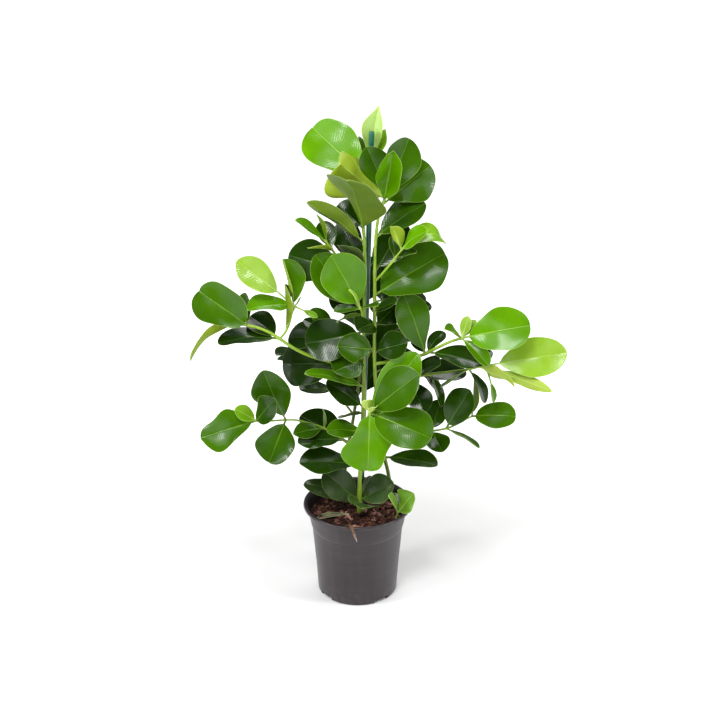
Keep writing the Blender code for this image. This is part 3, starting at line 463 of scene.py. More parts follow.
# Leaves at the front keep their places, and those behind are bent clear of them.
LEAF_ORDER = (FRONT, SHOOT_CENTRE, BRANCH_RIGHT, TWIG_LEFT, BRANCH_LEFT, SECOND,
              SHOOT_UPPER_RIGHT, LEADER, BRANCH_RIGHT_MID, BRANCH_LOW_RIGHT, BRANCH_LOW_LEFT,
              SHOOT_UPPER_LEFT, SHOOT_CENTRE_LEFT, SEEDLING, BRANCH_BACK_LEFT,
              BRANCH_BACK_RIGHT, STEM_BACK)

# How young each stem's foot and tip are, from 0, brown and woody, to 1, pale green
STEM_AGES = {
    "stem_leader": (0.45, 0.85), "stem_right": (0.35, 0.85), "stem_front": (0.8, 0.85),
    "stem_back": (0.1, 0.5), "branch_left_upper": (0.55, 0.9),
    "branch_right_upper": (0.55, 0.9), "branch_right_middle": (0.5, 0.85),
    "branch_left_lower": (0.4, 0.8), "branch_right_lower": (0.45, 0.85),
}
USUAL_AGES = (0.6, 0.9)


# Shapes

def blank():
    """A new empty mesh shape, and the marks that its finish reads."""
    bm = bmesh.new()
    marks = {"leaf_place": bm.verts.layers.float_vector.new("leaf_place"),
             "leaf_tone": bm.verts.layers.float_vector.new("leaf_tone"),
             "grain": bm.verts.layers.float_vector.new("grain")}
    return bm, marks


def finished(bm, name, finishes):
    """The piece made from a shape, smooth and with its faces turned outwards."""
    bmesh.ops.recalc_face_normals(bm, faces=bm.faces[:])
    mesh = bpy.data.meshes.new(name)
    bm.to_mesh(mesh)
    bm.free()
    for finish in finishes:
        mesh.materials.append(finish)
    mesh.shade_smooth()
    mesh.set_sharp_from_angle(angle=SHARP_ANGLE)
    return add_object(name, mesh)


def gather(bm, other):
    """Adds another shape, with its marks, to a shape; the other one is used up."""
    mesh = bpy.data.meshes.new("gathered")
    other.to_mesh(mesh)
    other.free()
    bm.from_mesh(mesh)
    bpy.data.meshes.remove(mesh)


def add_object(name, data):
    """A new object in the scene that holds a mesh, curve, lamp or lens."""
    item = bpy.data.objects.new(name, data)
    bpy.context.scene.collection.objects.link(item)
    return item


def mesh_from(bm, name):
    """A mesh made from a closed shape, with its faces turned outwards."""
    mesh = bpy.data.meshes.new(name)
    bmesh.ops.recalc_face_normals(bm, faces=bm.faces[:])
    if bm.calc_volume(signed=True) < 0:
        bmesh.ops.reverse_faces(bm, faces=bm.faces[:])
    bm.to_mesh(mesh)
    bm.free()
    return mesh


def evaluated_mesh(item):
    """The object's mesh with its modifiers applied."""
    bpy.context.view_layer.update()
    graph = bpy.context.evaluated_depsgraph_get()
    return bpy.data.meshes.new_from_object(item.evaluated_get(graph))


def combine(item, others, operation):
    """Joins or cuts an object's mesh with all of the others in one Boolean, then drops them."""
    group = bpy.data.collections.new("operands")
    bpy.context.scene.collection.children.link(group)
    for other in others:
        bpy.context.scene.collection.objects.unlink(other)
        group.objects.link(other)
    boolean = item.modifiers.new("combine", "BOOLEAN")
    boolean.operation = operation
    boolean.operand_type = "COLLECTION"
    boolean.collection = group
    boolean.solver = "EXACT"
    mesh = evaluated_mesh(item)
    item.modifiers.clear()
    item.data = mesh
    for other in list(group.objects):
        bpy.data.objects.remove(other, do_unlink=True)
    bpy.data.collections.remove(group)


def turned(profile, segments, name):
    """A closed solid turned round the upright axis; the profile starts and ends on the axis."""
    bm = bmesh.new()
    points = [bm.verts.new((radius * MM, 0.0, height * MM)) for radius, height in profile]
    edges = [bm.edges.new(pair) for pair in zip(points, points[1:])]
    bmesh.ops.spin(bm, geom=points + edges, axis=AXIS, cent=(0, 0, 0), angle=math.tau,
                   steps=segments, use_merge=True, use_duplicate=False)
    bmesh.ops.remove_doubles(bm, verts=bm.verts[:], dist=0.01 * MM)
    return mesh_from(bm, name)


def sector(inner, outer, low, high, start, sweep, name):
    """A block between two radii and two heights, swept round the upright axis by an angle."""
    bm = bmesh.new()
    corners = [bm.verts.new((radius, 0.0, height))
               for radius, height in ((inner, low), (outer, low), (outer, high), (inner, high))]
    face = bm.faces.new(corners)
    bmesh.ops.rotate(bm, verts=corners, cent=(0, 0, 0), matrix=Matrix.Rotation(start, 3, "Z"))
    geom = [face] + list(face.edges) + corners
    bmesh.ops.spin(bm, geom=geom, axis=AXIS, cent=(0, 0, 0), angle=sweep, steps=POCKET_STEPS)
    bmesh.ops.holes_fill(bm, edges=bm.edges[:], sides=4)
    return mesh_from(bm, name)


def inner_radius(height):
    """Inner radius of the pot at a height above its floor, both in millimetres."""
    points = sorted((high, radius) for radius, high in POT_INSIDE[:-1])
    for (low, near), (high, far) in zip(points, points[1:]):
        if low <= height <= high:
            break
    return near + (far - near) * (height - low) / (high - low)


def pocket_starts():
    """Where each drain pocket begins, as an angle from +X."""
    front = -math.pi / 2
    middles = [front + POCKET_FIRST + quarter * math.pi / 2 for quarter in range(4)]
    return [middle - POCKET_ANGLE / 2 for middle in middles]


def smooth_route(route, pieces=ROUTE_PIECES):
    """Points in metres along a smooth curve through the route's own points."""
    points = [Vector(point) * MM for point in route]
    padded = [2 * points[0] - points[1]] + points + [2 * points[-1] - points[-2]]
    path = []
    for before, start, end, after in zip(padded, padded[1:], padded[2:], padded[3:]):
        for piece in range(pieces):
            t = piece / pieces
            path.append(0.5 * (2 * start + (end - before) * t
                               + (2 * before - 5 * start + 4 * end - after) * t ** 2
                               + (3 * start - before - 3 * end + after) * t ** 3))
    path.append(points[-1])
    return path


def tube(path, radii, sides, name):
    """A closed tube along a path, with a radius at each of its points."""
    curve = bpy.data.curves.new(name, "CURVE")
    curve.dimensions = "3D"
    curve.bevel_depth = 1.0
    curve.bevel_resolution = sides // 2 - 2
    curve.use_fill_caps = True
    spline = curve.splines.new("POLY")
    spline.points.add(len(path) - 1)
    for point, place, radius in zip(spline.points, path, radii):
        point.co = (*place, 1.0)
        point.radius = radius
    holder = add_object(name, curve)
    mesh = evaluated_mesh(holder)
    bpy.data.objects.remove(holder, do_unlink=True)
    bm = bmesh.new()
    bm.from_mesh(mesh)
    bmesh.ops.remove_doubles(bm, verts=bm.verts[:], dist=0.001 * MM)
    return mesh_from(bm, name)


def add_tube(bm, path, radii, sides):
    """Adds a closed tube to a shape, and gives the points that it is made of."""
    skin = tube(path, radii, sides, "skin")
    first = len(bm.verts)
    bm.from_mesh(skin)
    bpy.data.meshes.remove(skin)
    bm.verts.ensure_lookup_table()
    return bm.verts[first:]


def point_at(path, node):
    """The place on a smooth route at a node number, kept a little short of the stem's end."""
    spot = min(node * ROUTE_PIECES, len(path) - 1 - ROOT_SUNK)
    index = int(spot)
    return path[index].lerp(path[index + 1], spot - index)


def search_tree(mesh):
    return BVHTree.FromPolygons([vertex.co.copy() for vertex in mesh.vertices],
                                [tuple(face.vertices) for face in mesh.polygons])


def stem_path(shoot, parents):
    """A shoot's path and radii; a side shoot's first point is seated on its parent's skin."""
    path = smooth_route(shoot.route)
    root, tip = (radius * MM for radius in shoot.radii)
    radii = [root + (tip - root) * index / (len(path) - 1) for index in range(len(path))]
    if shoot.parent:
        out = (path[1] - path[0]).normalized()
        path[0] = seated(path[0] + out * SEAT_START, out, root, parents[shoot.parent][2])
    return path, radii


def seated(place, out, radius, tree):
    """The place drawn back against its direction until a disc about it nearly meets a skin."""
    across = out.orthogonal().normalized()
    up = out.cross(across)
    rim = []
    for step in range(SEAT_SAMPLES):
        turn = math.tau * step / SEAT_SAMPLES
        rim.append(SEAT_SHARE * radius * (math.cos(turn) * across + math.sin(turn) * up))
    for _ in range(SEAT_SAMPLES):
        room = min(tree.find_nearest(place + offset)[3] for offset in rim + [Vector()])
        place = place - out * (room - SEAT_GAP)
    return place


def half_width(t, leaf, wide, hand):
    """Half the leaf's width at t, from its root (0) to its tip (1), on the side of its hand."""
    if t <= leaf.stalk:
        return STALK_HALF_WIDTH
    share = TIP_REACH * (t - leaf.stalk) / (1 - leaf.stalk)
    blade = math.sin(math.pi * share ** BROAD_PLACE) ** leaf.blunt
    blade *= 1 + leaf.lobe * hand * math.sin(math.tau * share)
    return STALK_HALF_WIDTH + (wide / 2 - STALK_HALF_WIDTH) * blade


def blade_place(leaf, pose, t, v, half, hand):
    """The middle of a blade at t along and v across it, its way up, and its thickness."""
    root, reach, roll, _ = pose
    along = reach.normalized()
    level = max(math.hypot(along.x, along.y), 1e-6)
    upper = Vector((-along.z * along.x / level, -along.z * along.y / level, level))
    upper = Matrix.Rotation(roll, 3, along) @ upper
    side = along.cross(upper)
    droop = math.radians(max(leaf.droop, 1))
    cup = math.radians(max(leaf.cup, 1))
    turn = droop * (0.5 - t)
    length = reach.length * droop / (2 * math.sin(droop / 2))
    centre = root + length / droop * (
        (math.sin(droop / 2) - math.sin(turn)) * along
        + (math.cos(turn) - math.cos(droop / 2)) * upper)
    normal = math.cos(turn) * upper - math.sin(turn) * along
    twist = math.radians(leaf.twist) * (t - 0.5)
    side, normal = (math.cos(twist) * side + math.sin(twist) * normal,
                    math.cos(twist) * normal - math.sin(twist) * side)
    crease = MIDRIB_RISE * cup
    bend = crease + cup * abs(v)
    reach_out = half / cup * (math.sin(bend) - math.sin(crease)) * hand
    lift = half / cup * (math.cos(crease) - math.cos(bend))
    lift += leaf.wave * MM * v ** 2 * math.sin(math.tau * t + (0 if v > 0 else WAVE_LAG))
    blend = min(max((t - 0.5 * leaf.stalk) / STALK_FADE, 0.0), 1.0)
    thick = STALK_THICKNESS + (BLADE_THICKNESS - STALK_THICKNESS) * blend
    out = normal * math.cos(bend) - side * math.sin(bend) * hand
    return centre + side * reach_out + normal * lift, out.normalized(), thick


def leaf_point(leaf, pose, t, v, layer, extra=0.0):
    """A point of a leaf: t along it, v across it (-1 to 1), layer 0 under to 1 upper skin."""
    hand = 1 if v > 0 else -1 if v < 0 else 0
    half = half_width(t, leaf, leaf.wide * MM * pose[3], hand)
    middle, out, thick = blade_place(leaf, pose, t, v, half, hand)
    return middle + out * (layer - 0.5) * (thick + extra)


def leaf_trees(leaf, pose):
    """Search trees of the room a leaf needs: all of it, and its blade without the stalk."""
    trees = []
    for first in (WHOLE_START, BLADE_START):
        points = []
        for row in range(CLEAR_ROWS + 1):
            t = first + (1 - first) * row / CLEAR_ROWS
            for layer in (0, 1):
                for v in (-CLEAR_EDGE, 0.0, CLEAR_EDGE):
                    points.append(leaf_point(leaf, pose, t, v, layer, CLEAR_THICKNESS))
        faces = []
        for row in range(CLEAR_ROWS):
            low = 6 * row
            ring = [low, low + 1, low + 2, low + 5, low + 4, low + 3]
            for here, there in zip(ring, ring[1:] + ring[:1]):
                faces.append((here, there, there + 6, here + 6))
        trees.append(BVHTree.FromPolygons(points, faces))
    middle = leaf_point(leaf, pose, 0.5, 0.0, 0.5)
    return trees, middle, pose[1].length * LEAF_ROOM


def swung(reach, yaw, pitch):
    """A reach turned in plan and raised or lowered, by angles in degrees."""
    side = Vector((-reach.y, reach.x, 0.0))
    if side.length < 1e-6:
        side = Vector((0.0, 1.0, 0.0))
    turned_up = Matrix.Rotation(math.radians(-pitch), 3, side.normalized()) @ reach
    return Matrix.Rotation(math.radians(yaw), 3, "Z") @ turned_up


def tries():
    """Changes of heading, rise and roll to try, smallest first."""
    options = []
    for swing in SWINGS:
        for yaw in (-swing, 0, swing):
            for pitch in (-swing, 0, swing):
                for roll in (-swing, 0, swing):
                    options.append((yaw, pitch, roll))
    unique = sorted(set(options),
                    key=lambda o: (o[0] ** 2 + o[1] ** 2 + ROLL_COST * o[2] ** 2, o))
    return unique[:MOST_TRIES]


class Crowd:
    """Everything placed so far, to keep each new leaf clear of it."""

    def __init__(self):
        self.solids = []
        self.options = tries()

    def add_solid(self, node, mesh):
        tree = search_tree(mesh)
        self.solids.append((node, tree, tree, None, 0.0))

    def clear(self, node, trees, middle, size):
        for owner, whole, blade, centre, radius in self.solids:
            if centre and (centre - middle).length > radius + size:
                continue
            if owner == node:
                if trees[1].overlap(blade):
                    return False
            elif trees[0].overlap(whole):
                return False
        return True

    def place(self, node, leaf, root):
        """The leaf's pose, bent clear of what is there; it joins the crowd."""
        wanted = Vector(leaf.reach) * MM
        for scale in SHRINKS:
            for yaw, pitch, roll in self.options:
                pose = (root, swung(wanted, yaw, pitch) * scale,
                        math.radians(leaf.roll + roll), scale)
                trees, middle, size = leaf_trees(leaf, pose)
                if self.clear(node, trees, middle, size):
                    self.solids.append((node, trees[0], trees[1], middle, size))
                    return pose
        raise ValueError("no room for a leaf of " + node)


def rounded(profile, cut):
    """A section with each corner inside it cut back twice, so that it turns softly."""
    section = [Vector(point) for point in profile]
    for size in (cut, cut / 3):
        soft = [section[0]]
        for before, corner, after in zip(section, section[1:], section[2:]):
            for other in (before, after):
                away = other - corner
                reach = min(size, away.length / 3)
                soft.append(corner + away.normalized() * reach)
        section = soft + [section[-1]]
    return [tuple(point) for point in section]


def make_pot(finish):
    """The turned pot with soft corners and four drain pockets in the edge of its base."""
    section = rounded(POT_OUTSIDE + POT_INSIDE, CORNER_ROUNDING)
    pot = add_object("nursery_pot", turned(section, POT_SEGMENTS, "nursery_pot"))
    margin = WALL / POCKET_FLOOR_RADIUS
    bumps = []
    cuts = []
    for start in pocket_starts():
        bumps.append(add_object("bump", sector(
            POCKET_FLOOR_RADIUS - WALL, BUMP_RADIUS, BUMP_LOW, BUMP_HEIGHT,
            start - margin, POCKET_ANGLE + 2 * margin, "bump")))
        cuts.append(add_object("cut", sector(
            POCKET_FLOOR_RADIUS, LIP_RADIUS * MM, -MM, POCKET_HEIGHT,
            start, POCKET_ANGLE, "cut")))
    combine(pot, bumps, "UNION")
    combine(pot, cuts, "DIFFERENCE")
    pot.data.materials.clear()
    pot.data.materials.append(finish)
    pot.data.shade_smooth()
    pot.data.set_sharp_from_angle(angle=POT_SHARP_ANGLE)
    return pot


def soil_height(x, y):
    """Height of the bark's lumpy top at a place, in metres."""
    edge = inner_radius(SOIL_EDGE_HEIGHT) * MM
    share = min(math.hypot(x, y) / edge, 1.0)
    level = (SOIL_EDGE_HEIGHT + SOIL_CROWN * (1 - share ** 2)) * MM
    place = Vector((x, y, level))
    return (level + SOIL_ROUGHNESS * (1 - share ** 4) * noise.noise(place * SOIL_LUMPS)
            + SOIL_RIPPLE * noise.noise(place * SOIL_RIPPLES))


def add_chip(bm, mark, place, sizes, turn, shade, finer, draw):
    """One bark chip: a small faceted lump, flattened, bent out of true and turned."""
    made = bmesh.ops.create_icosphere(bm, subdivisions=finer, radius=1.0)
    spin = Matrix.Rotation(turn, 3, "Z")
    spin = spin @ Matrix.Rotation(draw.uniform(-CHIP_LEAN, CHIP_LEAN), 3, "X")
    spin = spin @ Matrix.Rotation(draw.uniform(-CHIP_TILT, CHIP_TILT), 3, "Y")
    seed = Vector([draw.uniform(0, NOISE_SPAN) for _ in range(3)])
    for vertex in made["verts"]:
        swell = 1 + CHIP_SWELL * noise.noise(vertex.co * CHIP_LUMPS + seed)
        corner = Vector([math.copysign(abs(value) ** CHIP_CORNERS, value)
                         for value in vertex.co])
        shape = Vector([value * size for value, size in zip(corner * swell, sizes)])
        vertex.co = place + spin @ shape
        vertex[mark] = (shade, draw.uniform(0, 1), 0.0)


def add_strand(bm, mark, start, heading, length, radius, shade, draw):
    """One thin root or straw strand that lies over the bark."""
    path = []
    place = start.copy()
    stride = length / (STRAND_POINTS - 1)
    for _ in range(STRAND_POINTS):
        path.append(place.copy())
        heading += draw.uniform(-STRAND_WANDER, STRAND_WANDER)
        place.x += stride * math.cos(heading)
        place.y += stride * math.sin(heading)
        place.z = soil_height(place.x, place.y) + draw.uniform(*STRAND_RISES) * MM
    for vertex in add_tube(bm, path, [radius] * len(path), THREAD_SIDES):
        vertex[mark] = (shade, draw.uniform(0, 1), 1.0)


def make_soil(finish):
    """The bark mix: a lumpy plug with loose chips, crumbs and fine root strands on top."""
    draw = random.Random(5)
    low = (BUMP_HEIGHT + GAP) / MM
    section = [(0, low)]
    corners = sorted(high for _, high in POT_INSIDE if low < high < SOIL_EDGE_HEIGHT)
    for height in [low] + corners:
        section.append((inner_radius(height) - 2 * GAP / MM, height))
    edge = inner_radius(SOIL_EDGE_HEIGHT) - 2 * GAP / MM
    for ring in range(SOIL_RINGS + 1):
        section.append((edge * (1 - ring / SOIL_RINGS), SOIL_EDGE_HEIGHT))
    plug = turned(section, SOIL_SEGMENTS, "plug")
    bm, marks = blank()
    bm.from_mesh(plug)
    for vertex in bm.verts:
        if vertex.co.z > (SOIL_EDGE_HEIGHT - 0.5) * MM:
            vertex.co.z = soil_height(vertex.co.x, vertex.co.y)
        vertex[marks["grain"]] = (PLUG_SHADE, 0.5, 0.0)
    edge *= MM
    loose, loose_marks = blank()
    for index in range(CHIP_COUNT + CRUMB_COUNT):
        if index % CHIP_BATCH == 0:
            gather(bm, loose)
            loose, loose_marks = blank()
        chip = index < CHIP_COUNT
        size = draw.uniform(*(CHIP_SIZES if chip else CRUMB_SIZES)) * MM
        radius = (edge - size * 1.2) * math.sqrt(draw.random())
        angle = draw.uniform(0, math.tau)
        x, y = radius * math.cos(angle), radius * math.sin(angle)
        place = Vector((x, y, soil_height(x, y) + size * draw.uniform(*CHIP_RISES)))
        sizes = (size, size * draw.uniform(*CHIP_WIDTHS), size * draw.uniform(*CHIP_DEPTHS))
        pale = PALE_SHARE * (x > PALE_FROM) * (y < 0.0)
        turn = draw.uniform(0, math.tau)
        shade = min(1.0, draw.random() ** DARK_BIAS + pale * draw.random())
        add_chip(loose, loose_marks["grain"], place, sizes, turn, shade, 2 if chip else 1, draw)
    gather(bm, loose)
    for _ in range(STRAND_COUNT):
        radius = STRAND_REACH * edge * math.sqrt(draw.random())
        angle = draw.uniform(0, math.tau)
        x, y = radius * math.cos(angle), radius * math.sin(angle)
        heading = math.atan2(-y, -x) + draw.uniform(-STRAND_TURN, STRAND_TURN)
        start = Vector((x, y, soil_height(x, y) + 2 * MM))
        add_strand(bm, marks["grain"], start, heading, draw.uniform(*STRAND_LENGTHS) * MM,
                   draw.uniform(*STRAND_RADII) * MM, draw.uniform(*STRAND_SHADES), draw)
    return finished(bm, "bark_mix", [finish])


def make_stake(finish):
    """The coated stake: a rod with shallow flutes down it and a cut top."""
    foot, top = Vector(STAKE_FOOT) * MM, Vector(STAKE_TOP) * MM
    along = (top - foot).normalized()
    bm, _ = blank()
    made = bmesh.ops.create_circle(bm, cap_ends=True, segments=STAKE_SIDES, radius=STAKE_RADIUS)
    for index, vertex in enumerate(made["verts"]):
        if index % STAKE_FLUTE_EVERY == 0:
            vertex.co *= STAKE_FLUTE
    turn = AXIS.rotation_difference(along).to_matrix().to_4x4()
    bmesh.ops.transform(bm, matrix=Matrix.Translation(foot) @ turn, verts=bm.verts[:])
    levels = [step / STAKE_PIECES for step in range(STAKE_PIECES)] + [STAKE_CUT, 1.0]
    rim = bm.faces[:]
    for before, level in zip(levels, levels[1:]):
        raised = bmesh.ops.extrude_face_region(bm, geom=rim)["geom"]
        rim = [part for part in raised if isinstance(part, bmesh.types.BMFace)]
        corners = [part for part in raised if isinstance(part, bmesh.types.BMVert)]
        bmesh.ops.translate(bm, verts=corners, vec=(top - foot) * (level - before))
        if level == 1.0:
            for vertex in corners:
                vertex.co = top + (vertex.co - top) * STAKE_CHAMFER
    return finished(bm, "garden_stake", [finish])


def make_husk(finish):
    """The dry stalk that hangs over the pot's front rim, with loose fibres at its root."""
    draw = random.Random(8)
    path = smooth_route(HUSK_ROUTE, HUSK_PIECES)
    last = len(path) - 1
    radii = []
    for index in range(len(path)):
        swell = math.sin(math.pi * (index / last) ** HUSK_BROAD_PLACE) ** 0.8
        lump = noise.noise(Vector((index * 0.9, 3.1, 0.4)))
        radii.append((HUSK_END + HUSK_SWELL * swell) * MM * (1 + HUSK_LUMPS * lump))
    bm, marks = blank()
    for vertex in add_tube(bm, path, radii, HUSK_SIDES):
        near = min(range(len(path)), key=lambda index: (path[index] - vertex.co).length)
        out = vertex.co - path[near]
        ridge = noise.noise(Vector((out.x * HUSK_RIDGES, out.y * HUSK_RIDGES, near * 0.12)))
        vertex.co = path[near] + out * (0.85 + 0.5 * ridge)
        vertex[marks["grain"]] = (near / last, 0.5, 0.0)
    for _ in range(FIBRE_COUNT):
        spot = path[draw.randrange(0, last // 2)]
        aside = [draw.uniform(-FIBRE_SPREAD, FIBRE_SPREAD) * MM for _ in range(2)]
        start = spot + Vector(aside + [-2 * MM])
        start.z = max(start.z, soil_height(start.x, start.y))
        aim = Vector((draw.uniform(-1, 1), draw.uniform(-0.5, 1), draw.uniform(-0.1, 0.4)))
        length = draw.uniform(*FIBRE_LENGTHS) * MM
        fibre = [start + aim.normalized() * length * step / FIBRE_STEPS
                 + Vector((0, 0, -FIBRE_SAG * MM * (step / FIBRE_STEPS) ** 2))
                 for step in range(FIBRE_STEPS + 1)]
        for place in fibre:
            place.z = max(place.z, soil_height(place.x, place.y) + GAP)
        for vertex in add_tube(bm, fibre, [FIBRE_RADIUS * MM] * len(fibre), THREAD_SIDES):
            vertex[marks["grain"]] = (draw.uniform(0, 0.6), 0.5, 1.0)
    return finished(bm, "dry_stalk", [finish])


# Leafy stems

def leaf_outline(leaf, wide, t, hand):
    """Half the leaf's width at t, running out to nothing at a soft round tip."""
    if t <= leaf.stalk:
        return STALK_HALF_WIDTH
    share = min((t - leaf.stalk) / (TIP_END - leaf.stalk), 1.0)
    blade = math.sin(math.pi * share ** BROAD_PLACE) ** leaf.blunt if share < 1 else 0.0
    blade *= 1 + leaf.lobe * hand * math.sin(math.tau * share)
    return (STALK_HALF_WIDTH * (1 - share ** TIP_NARROWING)
            + (wide / 2 - STALK_HALF_WIDTH) * blade + TIP_HALF_WIDTH)


def leaf_stations(leaf):
    """Where a leaf has its rows of points: two on the stalk, then closer to the tip."""
    stations = [0.0, leaf.stalk * 0.6, leaf.stalk]
    steps = ALONG_STEPS - 2
    for step in range(1, steps + 1):
        share = 1 - (1 - step / steps) ** TIP_CROWDING
        stations.append(leaf.stalk + (TIP_END - leaf.stalk) * share)
    return stations


def add_leaf(bm, marks, leaf, pose, draw):
    """One leaf: a flat grid thickened, bent to its pose, with midrib, soft rim and waves."""
    columns = len(ACROSS) + 2
    made = bmesh.ops.create_grid(bm, x_segments=ALONG_STEPS, y_segments=2 * columns, size=0.5)
    faces = list(dict.fromkeys(face for vertex in made["verts"] for face in vertex.link_faces))
    under = [(vertex, 0.0, vertex.co.copy()) for vertex in made["verts"]]
    raised = bmesh.ops.extrude_face_region(bm, geom=faces, use_keep_orig=True)
    upper = [(vertex, 1.0, vertex.co.copy()) for vertex in raised["geom"]
             if isinstance(vertex, bmesh.types.BMVert)]
    stations = leaf_stations(leaf)
    wide = leaf.wide * MM * pose[3]
    long = pose[1].length
    tone = leaf.tone + draw.uniform(-TONE_SPREAD, TONE_SPREAD)
    chance = draw.random()
    most = RIPPLE * MM * min(leaf.wide / USUAL_WIDTH, MOST_RIPPLE)
    ripples = [(draw.uniform(*RIPPLE_SHARES) * most, draw.uniform(*RIPPLE_BEATS),
                draw.uniform(0, math.tau)) for _ in range(2)]
    for vertex, layer, flat in under + upper:
        t = stations[round((flat.x + 0.5) * ALONG_STEPS)]
        column = round(flat.y * 2 * columns)
        hand = 1 if column > 0 else -1 if column < 0 else 0
        half = leaf_outline(leaf, wide, t, hand)
        sway = noise.noise(Vector((t * OUTLINE_BEATS, hand * 3, chance * 40)))
        half *= 1 + OUTLINE_SWAY * sway
        v = across_share(abs(column), half) * hand
        rest, out, thick = blade_place(leaf, pose, t, v, half, hand)
        rib = math.exp(-(v * half / MIDRIB_EDGE) ** 2) * min(max(t - leaf.stalk, 0) * 8, 1)
        rim = math.sqrt(max(1 - abs(v) ** 6, 0.0)) * (1 - RIM_THICKNESS) + RIM_THICKNESS
        depth = (layer - 0.5) * thick * rim
        depth -= rib * (MIDRIB_GROOVE if layer else MIDRIB_KEEL * (1 - 0.8 * min(t, 1)))
        size, beats, phase = ripples[column > 0]
        wave = size * abs(v) ** RIPPLE_START * math.sin(math.tau * beats * t + phase)
        wave *= math.sin(math.pi * min(max(t, 0), 1)) ** 0.5
        swell = noise.noise(Vector((t * long, v * half, chance)) * SWELL_SCALE)
        wave += SWELL * swell * min(max(t - leaf.stalk, 0) * 5, 1)
        vertex.co = rest + out * (depth + wave)
        margin = min(half * (1 - abs(v)), long * (TIP_END - t))
        vertex[marks["leaf_place"]] = (t * long, v * half, max(margin, 0.0))
        vertex[marks["leaf_tone"]] = (tone, layer, chance)
        vertex[marks["grain"]] = (min(t, 1), 0.0, 0.0)


def across_share(column, half):
    """How far a column of points lies from the midrib (0) to the rim (1)."""
    if column == 0:
        return 0.0
    if column == 1:
        return min(MIDRIB_EDGE / half, 0.08)
    if column == 2:
        return min(BESIDE_MIDRIB / half, 0.16)
    return ACROSS[column - 3]


def add_stem(bm, marks, shoot):
    """A stem's smooth skin, swollen where leaves sit, with its age marked along it."""
    path = smooth_route(shoot.route, FINE_PIECES)
    last = len(path) - 1
    root, tip = (radius * MM for radius in shoot.radii)
    joints = sorted({round(leaf.node * FINE_PIECES) for leaf in shoot.leaves})
    radii = []
    for index in range(len(path)):
        near = min((abs(index - joint) for joint in joints), default=NO_NODE)
        swell = NODE_SWELL * math.exp(-(near / NODE_LENGTH) ** 2)
        radii.append((root + (tip - root) * index / last) * (0.97 + swell))
    skin = add_tube(bm, path, radii, FINE_SIDES)
    foot_age, tip_age = STEM_AGES.get(shoot.name, USUAL_AGES)
    places = numpy.array([tuple(point) for point in path])
    for vertex in skin:
        near = int(numpy.argmin(((places - numpy.array(vertex.co)) ** 2).sum(axis=1)))
        share = near / last
        joint = min((abs(near - joint) for joint in joints), default=NO_NODE)
        vertex[marks["grain"]] = (foot_age + (tip_age - foot_age) * share,
                                  math.exp(-(joint / SCAR_LENGTH) ** 2), 0.0)
    for face in {face for vertex in skin for face in vertex.link_faces}:
        face.material_index = 1


def make_shoot(shoot, poses, finishes):
    """A leafy stem as one piece: its own skin and each of its leaves at its pose."""
    draw = random.Random(shoot.name)
    bm, marks = blank()
    for leaf, pose in zip(shoot.leaves, poses):
        add_leaf(bm, marks, leaf, pose, draw)
    add_stem(bm, marks, shoot)
    return finished(bm, "leafy_" + shoot.name, finishes)


def leaf_poses():
    """Each leaf's pose, bent clear of whatever was placed before it, by shoot."""
    crowd = Crowd()
    stems = {}
    for shoot in SHOOTS:
        path, radii = stem_path(shoot, stems)
        mesh = tube(path[::ROUTE_PIECES], radii[::ROUTE_PIECES], STEM_SIDES, shoot.name)
        stems[shoot.name] = (path, mesh, search_tree(mesh))
    for name in ("pot", "stake", "husk", "soil", "fallen_leaf"):
        crowd.add_solid(name, frame["nodes"][name].data)
    for name, (_, mesh, _) in stems.items():
        crowd.add_solid(name, mesh)
    poses = {}
    for shoot in LEAF_ORDER:
        path = stems[shoot.name][0]
        poses[shoot.name] = [crowd.place(shoot.name, leaf, point_at(path, leaf.node))
                             for leaf in shoot.leaves]
    return poses


# Finishes

def linear(red, green, blue):
    """A colour given in 0 to 255, as the shader's own light values."""
    shares = [value / 255 for value in (red, green, blue)]
    return tuple(share / 12.92 if share <= 0.04045 else ((share + 0.055) / 1.055) ** 2.4
                 for share in shares) + (1.0,)


